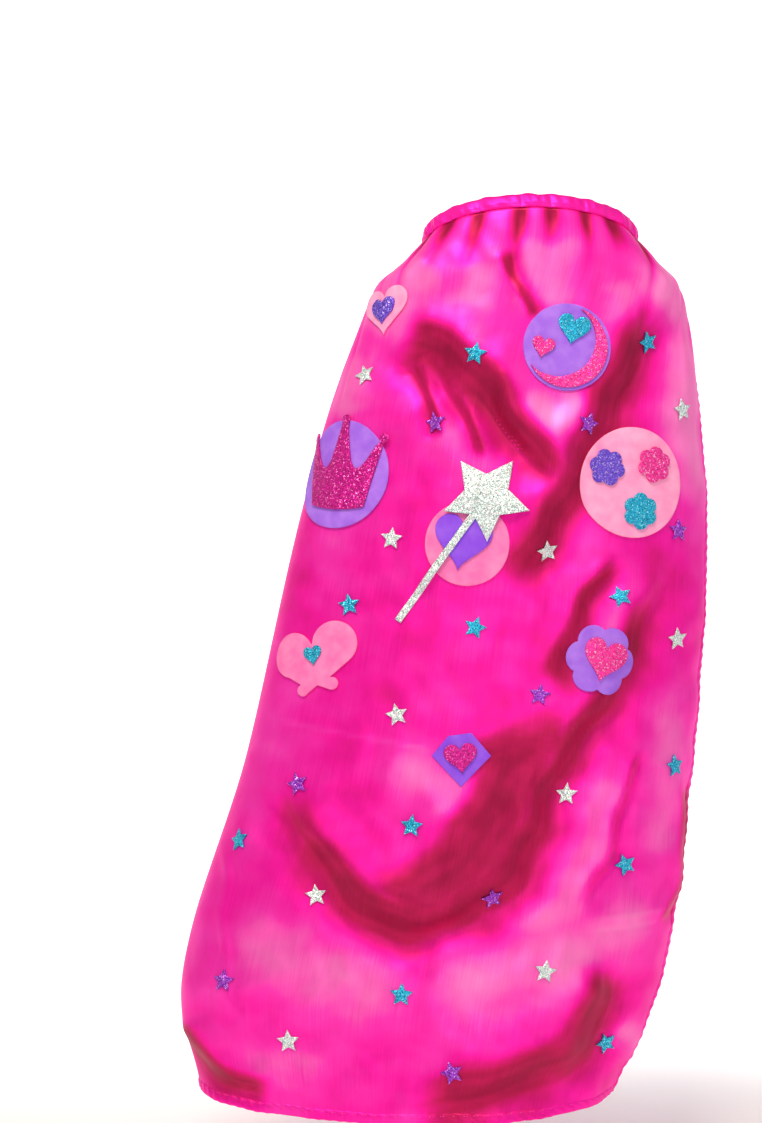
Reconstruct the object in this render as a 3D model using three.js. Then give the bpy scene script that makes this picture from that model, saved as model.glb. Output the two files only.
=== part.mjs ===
// A child's dress-up cape: a satin panel gathered into an elastic neck casing, closed in front by a
// hook-and-loop tab, and decorated on the outside with die-cut craft foam shapes.
// Millimetres, +Z up. The origin is the centre of the neck opening. The wearer faces +Y, so the
// decorated outside of the cape faces -Y, and +X is on the right of someone who looks at it.
import * as THREE from "three";

// ---------------------------------------------------------------- driving dimensions

const neckHalfWidth = 105; // the neck loop, worn: half its width, and half its depth along its own plane
const neckHalfDepth = 70;
const neckTilt = THREE.MathUtils.degToRad(28); // the loop drops towards the throat
const neckHalfSpan = 165; // degrees of the loop on each side of the spine that the casing covers

const capeDrop = 852; // from the neck loop's centre down to the hem
const capeHalfWidth = 240; // the hanging cape at its widest: half its width, and its bow from front to back
const capeHalfDepth = 120;
const hemSway = -116; // the hem hangs this far to the left of the spine
const satin = 1.4; // thickness of the panel's solid
const columns = 36; // facets across the panel and down it
const rows = 36;

const elasticHeight = 10.4;
const elasticThickness = 1;
const elasticPlay = 0.35; // between the elastic and the gathered casing round it
const casingWall = 1.1; // the casing's wall, and its thicker top and bottom
const casingEdge = 1.45;
const casingHeight = elasticHeight + 2 * (elasticPlay + casingEdge);
const seamGap = 0.4; // between two pieces that are sewn or stuck together

const hemWidth = 9; // the double-turned hem on the inside
const hemThickness = 1.2;

const foam = 2; // craft foam sheet
const layerGap = 0.6; // glue line between two layers of foam
const clothGap = 1; // and between foam and satin, whose weave and folds keep it further off
const starRadius = 11.5;
const starWaist = 0.48; // inner radius of a star, as a share of its outer one

const tabHeight = 16; // the closure's tabs, across the band
const tabThickness = 1.8;
const tabOverlap = 44; // how far the two tabs lie over each other
const tapeHeight = 12; // hook tape and loop tape sewn on the tabs
const tapeThickness = 1.4;
const tapeLength = 34;
const tapeShift = 2; // the hook tape lies this far off the middle of the loop tape
const rootRadius = 0.9; // rounded edge that the hook tab turns on

// ---------------------------------------------------------------- materials

const satinPink = new THREE.MeshStandardMaterial({ color: 0xff1a9c, roughness: 0.38, metalness: 0.15 });
const foamColours = {
  paleFoam: 0xfba5cb,
  pinkFoam: 0xf57fb8,
  purpleFoam: 0xab78e6,
  deepPurpleFoam: 0x9450e6,
  silverGlitter: 0xd9eee6,
  turquoiseGlitter: 0x2ab8d8,
  purpleGlitter: 0x7a58d8,
  plumGlitter: 0x9a36c6,
  pinkGlitter: 0xff4fa0,
  magentaGlitter: 0xd8129a,
};
const foamMaterials = {};
for (const [name, color] of Object.entries(foamColours)) {
  foamMaterials[name] = new THREE.MeshStandardMaterial({ color, roughness: 0.6, metalness: 0 });
}
const elasticWhite = new THREE.MeshStandardMaterial({ color: 0xf2f0ec, roughness: 0.8, metalness: 0 });
const tapeWhite = new THREE.MeshStandardMaterial({ color: 0xf4eef2, roughness: 0.9, metalness: 0 });

// ---------------------------------------------------------------- the worn cape as a surface

// Sections of the cape as it hangs, from the neck seam to the hem. Each is part of an ellipse seen from
// above: at is its share of the way down the cloth, height is its level, and rise lifts its back above
// its front. Its centre is sway shares of hemSway across, and back. Its half axes are spread and bow
// shares of the way from the neck loop's to the hanging cape's. left and right are its ends in degrees
// from the spine.
const seamDrop = casingHeight / 2 + seamGap; // the panel starts just under the casing
const seamAt = {
  height: -seamDrop * Math.cos(neckTilt),
  back: -seamDrop * Math.sin(neckTilt),
};
const section = (at, down, rise, sway, back, spread, bow, left, right) => ({
  at,
  height: -down * capeDrop,
  rise,
  across: sway * hemSway,
  back,
  wide: neckHalfWidth + spread * (capeHalfWidth - neckHalfWidth),
  deep: neckHalfDepth * Math.cos(neckTilt) + bow * (capeHalfDepth - neckHalfDepth * Math.cos(neckTilt)),
  left,
  right,
});
const sections = [
  {
    ...section(0, 0, neckHalfDepth * Math.sin(neckTilt), 0, 0, 0, 0, neckHalfSpan, neckHalfSpan),
    height: seamAt.height,
    back: seamAt.back,
  },
  section(0.035, 0.032, 25, 0, -3, 0.16, 0.12, 152, 150),
  section(0.07, 0.055, 18, 0.02, -2, 0.33, 0.24, 138, 134),
  section(0.11, 0.089, 14, 0.035, 0, 0.42, 0.33, 124, 116),
  section(0.21, 0.191, 8, 0.13, -2, 0.58, 0.45, 108, 93),
  section(0.34, 0.327, 3, 0.23, -4, 0.73, 0.57, 102, 86),
  section(0.6, 0.601, -5, 0.51, -8, 0.88, 0.79, 100, 84),
  section(0.86, 0.872, -10, 0.9, -12, 1, 1, 98, 82),
  section(1, 0.99, -14, 1, -16, 0.76, 1.07, 96, 80),
];

// Places below are right of the spine and up, in millimetres, seen from behind a cape of this size. They
// keep their shares of it when the cape is another size.
const patternHalfWidth = 240;
const patternDrop = 852;
const placed = ([x, z]) => [(x * capeHalfWidth) / patternHalfWidth, (z * capeDrop) / patternDrop];

// Folds that hang in the cloth, as soft ridges (height > 0) and valleys along a line between two places.
const folds = [
  { from: [-135, -75], to: [10, -205], height: 6, reach: 28 },
  { from: [-150, -135], to: [0, -260], height: -5, reach: 26 },
  { from: [145, -75], to: [20, -250], height: 6, reach: 26 },
  { from: [165, -150], to: [45, -330], height: -5, reach: 24 },
  { from: [150, -330], to: [70, -560], height: 7, reach: 30 },
  { from: [70, -560], to: [-90, -665], height: 7, reach: 34 },
  { from: [-205, -540], to: [-120, -660], height: 6, reach: 34 },
  { from: [-10, -470], to: [-80, -580], height: -6, reach: 34 },
  { from: [150, -500], to: [95, -690], height: -6, reach: 24 },
];
const hemWaves = { height: 7, count: 3.5, start: 0.55 }; // flutes that open towards the hem
const heldFlat = 0.85; // share of a fold that foam stuck on the cloth takes out of it
const flatMargin = 12; // past the foam's edge

// The larger foam shapes' places, and how far each reaches from there.
const patches = {
  heart: { at: [-145, -75], reach: 26 },
  moon: { at: [31, -112], reach: 43 },
  crown: { at: [-190, -235], reach: 54 },
  wand: { at: [-66, -303], reach: 41 },
  flowers: { at: [96, -243], reach: 54 },
  butterfly: { at: [-215, -416], reach: 50 },
  blossom: { at: [63, -415], reach: 35 },
  gem: { at: [-71, -509], reach: 30 },
};

const smooth = (t) => t * t * (3 - 2 * t);
const clamp = THREE.MathUtils.clamp;

// One column of the section table at v, by a cubic through the neighbouring sections.
function sectionValue(key, v) {
  let i = 0;
  while (i < sections.length - 2 && v > sections[i + 1].at) i++;
  const at = (k) => sections[clamp(k, 0, sections.length - 1)];
  const [p0, p1, p2, p3] = [at(i - 1), at(i), at(i + 1), at(i + 2)];
  const span = p2.at - p1.at;
  const slope = (a, b) => (a === b ? 0 : ((b[key] - a[key]) / (b.at - a.at)) * span);
  const m1 = (slope(p0, p1) + slope(p1, p2)) / (p0 === p1 ? 1 : 2);
  const m2 = (slope(p1, p2) + slope(p2, p3)) / (p2 === p3 ? 1 : 2);
  const t = (v - p1.at) / span;
  const t2 = t * t;
  const t3 = t2 * t;
  return (
    (2 * t3 - 3 * t2 + 1) * p1[key] + (t3 - 2 * t2 + t) * m1 + (3 * t2 - 2 * t3) * p2[key] + (t3 - t2) * m2
  );
}

// How far a fold lifts the cloth at a place seen from behind. Stiff foam holds the cloth flat under it.
function foldLift(x, z) {
  let lift = 0;
  for (const fold of folds) {
    const [[x0, z0], [x1, z1]] = [placed(fold.from), placed(fold.to)];
    const [dx, dz] = [x1 - x0, z1 - z0];
    const along = clamp(((x - x0) * dx + (z - z0) * dz) / (dx * dx + dz * dz), 0, 1);
    const away = Math.hypot(x - x0 - along * dx, z - z0 - along * dz) / fold.reach;
    lift += fold.height * Math.exp(-away * away);
  }
  for (const patch of Object.values(patches)) {
    const [px, pz] = placed(patch.at);
    const away = Math.hypot(x - px, z - pz) / (patch.reach + flatMargin);
    lift *= 1 - heldFlat * Math.exp(-Math.pow(away, 4));
  }
  return lift;
}

// The outside of the satin: u runs from its left edge to its right edge, v from the neck seam to the hem.
function capeSurface(u, v) {
  const get = (key) => sectionValue(key, v);
  const [left, right] = [get("left"), get("right")];
  const turn = THREE.MathUtils.degToRad(-left + u * (left + right));
  const [wide, deep] = [get("wide"), get("deep")];
  const x = get("across") + wide * Math.sin(turn);
  const y = get("back") - deep * Math.cos(turn);
  const z = get("height") + get("rise") * Math.cos(turn);
  const opened = smooth(clamp((v - hemWaves.start) / (1 - hemWaves.start), 0, 1));
  const wave = hemWaves.height * opened * Math.sin(turn * hemWaves.count);
  const lift = (Math.abs(turn) < Math.PI / 2 ? foldLift(x, z) * smooth(clamp(v / 0.12, 0, 1)) : 0) + wave;
  const out = new THREE.Vector2(deep * Math.sin(turn), -wide * Math.cos(turn)).normalize();
  return new THREE.Vector3(x + lift * out.x, y + lift * out.y, z);
}

function capeNormal(u, v) {
  const step = 0.002;
  const [u0, u1] = [clamp(u - step, 0, 1), clamp(u + step, 0, 1)];
  const [v0, v1] = [clamp(v - step, 0, 1), clamp(v + step, 0, 1)];
  const right = capeSurface(u1, v).sub(capeSurface(u0, v));
  const up = capeSurface(u, v0).sub(capeSurface(u, v1));
  return right.cross(up).normalize();
}

// The panel's facets, so that what lies on the cloth lies on the same facets. Their lines follow the
// inner edge of the hem.
const widthAt = capeSurface(0.5, 0.7).distanceTo(capeSurface(0.51, 0.7)) * 100;
const lengthAt = capeSurface(0.5, 0.95).distanceTo(capeSurface(0.5, 0.96)) * 100;
const hemAcross = hemWidth / widthAt;
const hemDown = hemWidth / lengthAt;
const evenly = (from, to, count) => Array.from({ length: count + 1 }, (_, k) => from + ((to - from) * k) / count);
const lines = {
  u: [0, ...evenly(hemAcross, 1 - hemAcross, columns - 2), 1],
  v: [...evenly(0, 1 - hemDown, rows - 1), 1],
};
const grid = lines.v.map((v) => lines.u.map((u) => ({ point: capeSurface(u, v), normal: capeNormal(u, v) })));

// The cell of a grid line list that holds a value, and how far across the cell it is.
function cellOf(list, value) {
  let k = 0;
  while (k < list.length - 2 && value > list[k + 1]) k++;
  return [k, (value - list[k]) / (list[k + 1] - list[k])];
}

// The point at (u, v) on those facets, lifted off them along the smooth normal.
function onCloth(u, v, lift) {
  const [i, fs] = cellOf(lines.u, clamp(u, 0, 1));
  const [j, ft] = cellOf(lines.v, clamp(v, 0, 1));
  const [a, b, c, d] = [grid[j][i], grid[j][i + 1], grid[j + 1][i + 1], grid[j + 1][i]];
  // The cell a b over d c is cut from b to d.
  const shares =
    fs + ft <= 1
      ? [[a, 1 - fs - ft], [b, fs], [d, ft]]
      : [[c, fs + ft - 1], [b, 1 - ft], [d, 1 - fs]];
  const point = new THREE.Vector3();
  const normal = new THREE.Vector3();
  for (const [corner, share] of shares) {
    point.addScaledVector(corner.point, share);
    normal.addScaledVector(corner.normal, share);
  }
  return point.addScaledVector(normal.normalize(), lift);
}

// The (u, v) whose surface point has the given measures, by Newton's method on two measures of the point.
function findOnCape(start, measures) {
  let [u, v] = start;
  for (let turn = 0; turn < 12; turn++) {
    const here = measures(capeSurface(u, v));
    const step = 1e-4;
    const overU = measures(capeSurface(u + step, v));
    const overV = measures(capeSurface(u, v + step));
    const [a, b] = [(overU[0] - here[0]) / step, (overV[0] - here[0]) / step];
    const [c, d] = [(overU[1] - here[1]) / step, (overV[1] - here[1]) / step];
    const det = a * d - b * c;
    u = clamp(u - clamp((d * here[0] - b * here[1]) / det, -0.1, 0.1), 0.004, 0.996);
    v = clamp(v - clamp((a * here[1] - c * here[0]) / det, -0.1, 0.1), 0.004, 0.996);
  }
  return [u, v];
}

// Where a place seen from behind lies on the cloth, with the directions right, up and out there.
function seat([x, z]) {
  let start = [0.5, 0.5];
  let nearest = Infinity;
  for (let i = 1; i < columns; i++) {
    for (let j = 1; j < rows; j++) {
      const { point, normal } = grid[j][i];
      const gap = Math.hypot(point.x - x, point.z - z);
      if (normal.y < -0.1 && gap < nearest) [nearest, start] = [gap, [lines.u[i], lines.v[j]]];
    }
  }
  const uv = findOnCape(start, (p) => [p.x - x, p.z - z]);
  const centre = capeSurface(...uv);
  const out = capeNormal(...uv);
  const right = new THREE.Vector3(1, 0, 0).addScaledVector(out, -out.x).normalize();
  const up = out.clone().cross(right);
  return { uv, centre, out, right, up };
}

// ---------------------------------------------------------------- flat patches that become solids

// A patch is a flat set of points and the triangles between them, anticlockwise.
function patchOf(points, triangles) {
  const keys = new Map();
  const kept = [];
  const index = points.map(([x, y]) => {
    const key = x.toFixed(4) + " " + y.toFixed(4);
    if (!keys.has(key)) keys.set(key, kept.push([x, y]) - 1);
    return keys.get(key);
  });
  const faces = triangles
    .map((triangle) => triangle.map((k) => index[k]))
    .filter(([a, b, c]) => a !== b && b !== c && c !== a);
  return { points: kept, triangles: faces };
}

// Rings round a middle point, for an outline that the middle sees all of.
function fanPatch(outline, ringCount, middle = [0, 0]) {
  const count = outline.length;
  const points = [middle];
  for (let ring = 1; ring <= ringCount; ring++) {
    const share = ring / ringCount;
    for (const [x, y] of outline) {
      points.push([middle[0] + (x - middle[0]) * share, middle[1] + (y - middle[1]) * share]);
    }
  }
  const triangles = [];
  for (let k = 0; k < count; k++) {
    const next = (k + 1) % count;
    triangles.push([0, 1 + k, 1 + next]);
    for (let ring = 1; ring < ringCount; ring++) {
      const [inner, outer] = [1 + (ring - 1) * count, 1 + ring * count];
      triangles.push([inner + k, outer + k, outer + next], [inner + k, outer + next, inner + next]);
    }
  }
  return patchOf(points, triangles);
}

// A ruled strip: below(t) and above(t) give its two long edges, with above on the left of the way along.
function stripPatch(stations, below, above, layers = 1) {
  const points = [];
  const triangles = [];
  stations.forEach((t, k) => {
    const [[x0, y0], [x1, y1]] = [below(t), above(t)];
    for (let layer = 0; layer <= layers; layer++) {
      const share = layer / layers;
      points.push([x0 + (x1 - x0) * share, y0 + (y1 - y0) * share]);
      if (k && layer) {
        const here = points.length - 1;
        const before = here - layers - 1;
        triangles.push([before - 1, here - 1, here], [before - 1, here, before]);
      }
    }
  });
  return patchOf(points, triangles);
}

function joinPatches(a, b) {
  const shifted = b.triangles.map((triangle) => triangle.map((k) => k + a.points.length));
  return patchOf([...a.points, ...b.points], [...a.triangles, ...shifted]);
}

function turnPatch({ points, triangles }, degrees, [dx, dy] = [0, 0]) {
  const angle = THREE.MathUtils.degToRad(degrees);
  const [c, s] = [Math.cos(angle), Math.sin(angle)];
  return { points: points.map(([x, y]) => [c * x - s * y + dx, s * x + c * y + dy]), triangles };
}

// A closed sheet: the patch twice, once at each level, with walls round its edges. place(x, y, level)
// gives a point in space, and level rises towards the side that sees the patch anticlockwise.
function sheetGeometry({ points, triangles }, place, low, high) {
  const low3 = points.map(([x, y]) => place(x, y, low));
  const high3 = points.map(([x, y]) => place(x, y, high));
  const edges = new Set();
  for (const [a, b, c] of triangles) {
    for (const edge of [[a, b], [b, c], [c, a]]) edges.add(edge.join());
  }
  const corners = [];
  for (const [a, b, c] of triangles) {
    corners.push(high3[a], high3[b], high3[c], low3[a], low3[c], low3[b]);
  }
  for (const edge of edges) {
    const [a, b] = edge.split(",").map(Number);
    if (edges.has([b, a].join())) continue;
    corners.push(low3[a], low3[b], high3[b], low3[a], high3[b], high3[a]);
  }
  return new THREE.BufferGeometry().setFromPoints(corners);
}

// ---------------------------------------------------------------- outlines, about their own middle

function roundOutline(halfWidth, halfHeight, count) {
  return Array.from({ length: count }, (_, k) => {
    const angle = (2 * Math.PI * k) / count;
    return [halfWidth * Math.cos(angle), halfHeight * Math.sin(angle)];
  });
}

// The heart curve x = sin^3 t, y = 13 cos t - 5 cos 2t - 2 cos 3t - cos 4t, brought to a width and height.
function heartOutline(width, height, count = 18) {
  return Array.from({ length: count }, (_, k) => {
    const t = (2 * Math.PI * k) / count;
    const y = 13 * Math.cos(t) - 5 * Math.cos(2 * t) - 2 * Math.cos(3 * t) - Math.cos(4 * t);
    return [(-width / 2) * Math.sin(t) ** 3, (height / 29) * (y + 2.5)];
  });
}

function starOutline(radius, waist = starWaist) {
  return Array.from({ length: 10 }, (_, k) => {
    const angle = Math.PI / 2 + (Math.PI * k) / 5;
    const reach = k % 2 ? radius * waist : radius;
    return [reach * Math.cos(angle), reach * Math.sin(angle)];
  });
}

// Six round petals: the radius follows |cos 3a|, so that it meets in a notch between two petals.
function flowerOutline(radius, count = 24) {
  return Array.from({ length: count }, (_, k) => {
    const angle = (2 * Math.PI * k) / count;
    const reach = radius * (0.82 + 0.18 * Math.abs(Math.cos(3 * angle)) ** 0.7);
    return [reach * Math.cos(angle), reach * Math.sin(angle)];
  });
}

function splitEdges(corners, pieces) {
  return corners.flatMap(([x0, y0], k) => {
    const [x1, y1] = corners[(k + 1) % corners.length];
    return Array.from({ length: pieces }, (_, n) => [
      x0 + ((x1 - x0) * n) / pieces,
      y0 + ((y1 - y0) * n) / pieces,
    ]);
  });
}

// ---------------------------------------------------------------- group and helpers

const cape = new THREE.Group();
cape.name = "superhero_cape";

function add(name, geometry, material) {
  geometry.computeVertexNormals();
  const mesh = new THREE.Mesh(geometry, material);
  mesh.name = name;
  cape.add(mesh);
}

// Walks from a seat over the cloth, x to the right and y up, in short steps that keep their heading.
function walkFrom(seated, x, y) {
  const paces = 8;
  let [u, v] = seated.uv;
  const heading = seated.right.clone().multiplyScalar(x).addScaledVector(seated.up, y).divideScalar(paces);
  const pace = heading.length();
  for (let k = 0; k < paces; k++) {
    const step = 1e-3;
    const overU = capeSurface(u + step, v).sub(capeSurface(u - step, v)).divideScalar(2 * step);
    const overV = capeSurface(u, v + step).sub(capeSurface(u, v - step)).divideScalar(2 * step);
    const out = overV.clone().cross(overU).normalize();
    heading.addScaledVector(out, -heading.dot(out)).setLength(pace);
    const [a, b, c] = [overU.dot(overU), overU.dot(overV), overV.dot(overV)];
    const [p, q] = [overU.dot(heading), overV.dot(heading)];
    u += (c * p - b * q) / (a * c - b * b);
    v += (a * q - b * p) / (a * c - b * b);
  }
  return [u, v];
}

// Sticks a patch on the cape: seated says where, level how high its underside is over the satin.
// settle(x, y), if given, changes that level from place to place.
function stick(name, patch, seated, level, material, settle = () => level) {
  const place = (x, y, above) => {
    const uv = x || y ? walkFrom(seated, x, y) : seated.uv;
    return onCloth(...uv, settle(x, y) + above);
  };
  add(name, sheetGeometry(patch, place, 0, foam), material);
}

const firstLayer = clothGap;
const secondLayer = firstLayer + foam + layerGap;
const thirdLayer = secondLayer + foam + layerGap;

// ---------------------------------------------------------------- satin panel and hem

const clothPlace = (u, down, level) => onCloth(u, -down, level);

// The patch of the cells that chosen(column, row) picks, in (u, -v).
function cellPatch(chosen) {
  const points = lines.v.flatMap((v) => lines.u.map((u) => [u, -v]));
  const triangles = [];
  for (let j = 0; j < rows; j++) {
    for (let i = 0; i < columns; i++) {
      if (!chosen(i, j)) continue;
      const a = j * (columns + 1) + i;
      const [b, c, d] = [a + 1, a + columns + 2, a + columns + 1];
      triangles.push([a, d, b], [b, d, c]);
    }
  }
  return patchOf(points, triangles);
}

function addPanel() {
  add("cape_panel", sheetGeometry(cellPatch(() => true), clothPlace, -satin, 0), satinPink);
}

// The hem runs down the left edge, along the bottom and up the right edge, on the inside.
function addHem() {
  const hem = cellPatch((i, j) => i === 0 || i === columns - 1 || j === rows - 1);
  const outside = -satin - seamGap;
  add("edge_hem", sheetGeometry(hem, clothPlace, outside - hemThickness, outside), satinPink);
}

// ---------------------------------------------------------------- neck band

// Directions of the neck loop's own plane: forward along it, and up out of it.
const bandForward = new THREE.Vector3(0, Math.cos(neckTilt), -Math.sin(neckTilt));
const bandUp = new THREE.Vector3(0, Math.sin(neckTilt), Math.cos(neckTilt));

// A point of the neck band: across it from its middle line, outwards, and up.
function onBand(degrees, outward, up) {
  const turn = THREE.MathUtils.degToRad(degrees);
  const out = new THREE.Vector2(neckHalfDepth * Math.sin(turn), -neckHalfWidth * Math.cos(turn)).normalize();
  const x = neckHalfWidth * Math.sin(turn) + outward * out.x;
  const forward = -neckHalfDepth * Math.cos(turn) + outward * out.y;
  return new THREE.Vector3(x, 0, 0).addScaledVector(bandForward, forward).addScaledVector(bandUp, up);
}

const rectangle = (halfOut, halfUp) => [
  [-halfOut, -halfUp],
  [halfOut, -halfUp],
  [halfOut, halfUp],
  [-halfOut, halfUp],
];

// Sweeps loops of (outward, up) corners round the band. With two loops the second is the hole of a tube.
function bandGeometry(loops, halfSpan, steps) {
  const corners = [];
  const at = (loop, k, step) => {
    const [out, up] = loop[k % loop.length];
    return onBand(-halfSpan + (2 * halfSpan * step) / steps, out, up);
  };
  loops.forEach((loop, which) => {
    for (let step = 0; step < steps; step++) {
      for (let k = 0; k < loop.length; k++) {
        const quad = [at(loop, k, step), at(loop, k + 1, step), at(loop, k + 1, step + 1), at(loop, k, step + 1)];
        const [a, b, c, d] = which ? [...quad].reverse() : quad;
        corners.push(a, d, b, b, d, c);
      }
    }
  });
  for (const step of [0, steps]) {
    const [outer, inner] = loops;
    for (let k = 0; k < outer.length; k++) {
      const [a, b] = [at(outer, k, step), at(outer, k + 1, step)];
      const face = inner
        ? [a, b, at(inner, k + 1, step), a, at(inner, k + 1, step), at(inner, k, step)]
        : k && k < outer.length - 1
          ? [at(outer, 0, step), a, b]
          : [];
      corners.push(...(step ? face.reverse() : face));
    }
  }
  return new THREE.BufferGeometry().setFromPoints(corners);
}

const holeHalfOut = elasticThickness / 2 + elasticPlay;
const holeHalfUp = elasticHeight / 2 + elasticPlay;
const casingHalfOut = holeHalfOut + casingWall;

function addNeckBand() {
  const steps = 44;
  const outer = rectangle(casingHalfOut, casingHeight / 2);
  const hole = rectangle(holeHalfOut, holeHalfUp);
  add("neck_casing", bandGeometry([outer, hole], neckHalfSpan, steps), satinPink);
  const strip = rectangle(elasticThickness / 2, elasticHeight / 2);
  add("neck_elastic", bandGeometry([strip], neckHalfSpan, steps), elasticWhite);
}

// ---------------------------------------------------------------- hook-and-loop closure

// The closure lies across the gap in front of the throat. Its pieces are outlines in (across, forward),
// in the plane of the neck loop, extruded up out of it.
const gapHalf = neckHalfWidth * Math.sin(THREE.MathUtils.degToRad(180 - neckHalfSpan));
const gapForward = neckHalfDepth * Math.cos(THREE.MathUtils.degToRad(180 - neckHalfSpan));
const loopTabForward = gapForward + 1; // its inner face
const loopTapeForward = loopTabForward + tabThickness + seamGap;
const hookTapeForward = loopTapeForward + tapeThickness + seamGap;
const hookTabForward = hookTapeForward + tapeThickness + seamGap;
// The hook tab turns on its rounded root, which lies against the outer corner of the casing's left end.
const rootBearing = THREE.MathUtils.degToRad(42);
const cornerAt = (() => {
  const corner = onBand(-neckHalfSpan, casingHalfOut, 0);
  return [corner.x, corner.dot(bandForward)];
})();
const rootAt = [
  cornerAt[0] + (rootRadius + seamGap) * Math.cos(rootBearing),
  cornerAt[1] + (rootRadius + seamGap) * Math.sin(rootBearing),
];

function addBandPiece(name, outline, height, material) {
  const shape = new THREE.Shape(outline.map(([x, forward]) => new THREE.Vector2(x, forward)));
  const geometry = new THREE.ExtrudeGeometry(shape, { depth: height, bevelEnabled: false, curveSegments: 4 });
  geometry.deleteAttribute("uv");
  const frame = new THREE.Matrix4().makeBasis(new THREE.Vector3(1, 0, 0), bandForward, bandUp);
  frame.setPosition(bandUp.clone().multiplyScalar(-height / 2));
  geometry.applyMatrix4(frame);
  add(name, geometry, material);
}

function addClosure() {
  const bar = (x0, x1, inner, thickness) => [
    [x0, inner],
    [x1, inner],
    [x1, inner + thickness],
    [x0, inner + thickness],
  ];
  const loopTabEnd = gapHalf - 0.6;
  addBandPiece(
    "loop_tab",
    bar(loopTabEnd - tabOverlap, loopTabEnd, loopTabForward, tabThickness),
    tabHeight,
    satinPink,
  );
  const loopMiddle = loopTabEnd - tabOverlap / 2 - tapeShift;
  addBandPiece(
    "loop_tape",
    bar(loopMiddle - tapeLength / 2, loopMiddle + tapeLength / 2, loopTapeForward, tapeThickness),
    tapeHeight,
    tapeWhite,
  );
  const hookMiddle = loopMiddle + 2 * tapeShift;
  addBandPiece(
    "hook_tape",
    bar(hookMiddle - tapeLength / 2, hookMiddle + tapeLength / 2, hookTapeForward, tapeThickness),
    tapeHeight,
    tapeWhite,
  );
  // The hook tab: a round root, a short rise over the other layers, and a straight tab.
  const [rx, rf] = rootAt;
  const straightFrom = rx + 5.5;
  const straightTo = hookMiddle + tapeLength / 2 + 4;
  const root = Array.from({ length: 7 }, (_, k) => {
    const angle = THREE.MathUtils.degToRad(120 + 30 * k);
    return [rx + rootRadius * Math.cos(angle), rf + rootRadius * Math.sin(angle)];
  });
  addBandPiece(
    "hook_tab",
    [
      ...root,
      [straightFrom + 0.6, hookTabForward],
      [straightTo, hookTabForward],
      [straightTo, hookTabForward + tabThickness],
      [straightFrom - 0.9, hookTabForward + tabThickness],
    ],
    tabHeight,
    satinPink,
  );
}

// ---------------------------------------------------------------- foam shapes

function addHeartPatch() {
  const seated = seat(placed(patches.heart.at));
  const tilt = -3;
  const base = turnPatch(fanPatch(heartOutline(55, 50, 20), 3), tilt);
  const top = turnPatch(fanPatch(heartOutline(29, 28), 1), tilt, [-1, 0]);
  stick("heart_base", base, seated, firstLayer, foamMaterials.paleFoam);
  stick("heart_top", top, seated, secondLayer, foamMaterials.purpleGlitter);
}

function addMoonPatch() {
  const seated = seat(placed(patches.moon.at));
  const radius = patches.moon.reach;
  stick("moon_disc", fanPatch(roundOutline(radius, radius, 24), 3), seated, firstLayer, foamMaterials.purpleFoam);
  // The crescent: a round with a bite out of it, between the two horns where their circles cross.
  const round = radius - 3;
  const bite = { at: [-9, 8], radius: 37 };
  const way = Math.atan2(bite.at[1], bite.at[0]);
  const gap = Math.hypot(...bite.at);
  const hornTurn = Math.acos((gap ** 2 + round ** 2 - bite.radius ** 2) / (2 * gap * round));
  const biteTurn = Math.acos((round * Math.cos(hornTurn) - gap) / bite.radius);
  const arc = ([x, y], reach, from) => (t) => {
    const angle = way + from + (2 * Math.PI - 2 * from) * t;
    return [x + reach * Math.cos(angle), y + reach * Math.sin(angle)];
  };
  const stations = evenly(0, 1, 14);
  const crescent = stripPatch(stations, arc([0, 0], round, hornTurn), arc(bite.at, bite.radius, biteTurn));
  stick("moon_crescent", crescent, seated, secondLayer, foamMaterials.pinkGlitter);
  const big = turnPatch(fanPatch(heartOutline(32, 30), 1), -12, [5.8, 16.6]);
  const small = turnPatch(fanPatch(heartOutline(22, 21, 14), 1), -14, [-24, -1]);
  stick("moon_heart_large", big, seated, secondLayer, foamMaterials.turquoiseGlitter);
  stick("moon_heart_small", small, seated, secondLayer, foamMaterials.pinkGlitter);
}

function addCrownPatch() {
  const seated = seat(placed(patches.crown.at));
  const radius = patches.crown.reach;
  stick("crown_disc", fanPatch(roundOutline(radius, radius, 28), 4), seated, firstLayer, foamMaterials.purpleFoam);
  const lerp = (table, x) => {
    let k = 0;
    while (k < table.length - 2 && x > table[k + 1][0]) k++;
    const [[x0, y0], [x1, y1]] = [table[k], table[k + 1]];
    return y0 + ((y1 - y0) * (x - x0)) / (x1 - x0);
  };
  // The right half of the crown's top edge and bottom edge: a middle point, a valley and a ball-ended point.
  const top = [[0, 58], [4, 56], [5, 50], [17, 4], [24, 6], [38, 34], [41, 42], [46, 42], [49, 37]];
  const bottom = [[0, -36], [31, -32], [43, 30], [46, 32], [49, 37]];
  const half = [0, 5, 11, 17, 24, 31, 38, 41, 46, 49];
  const stations = [...half.slice(1).reverse().map((x) => -x), ...half];
  const crown = stripPatch(
    stations,
    (x) => [x, lerp(bottom, Math.abs(x))],
    (x) => [x, lerp(top, Math.abs(x))],
    4,
  );
  stick("crown_top", turnPatch(crown, -9, [2, 0]), seated, secondLayer, foamMaterials.magentaGlitter);
}

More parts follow.
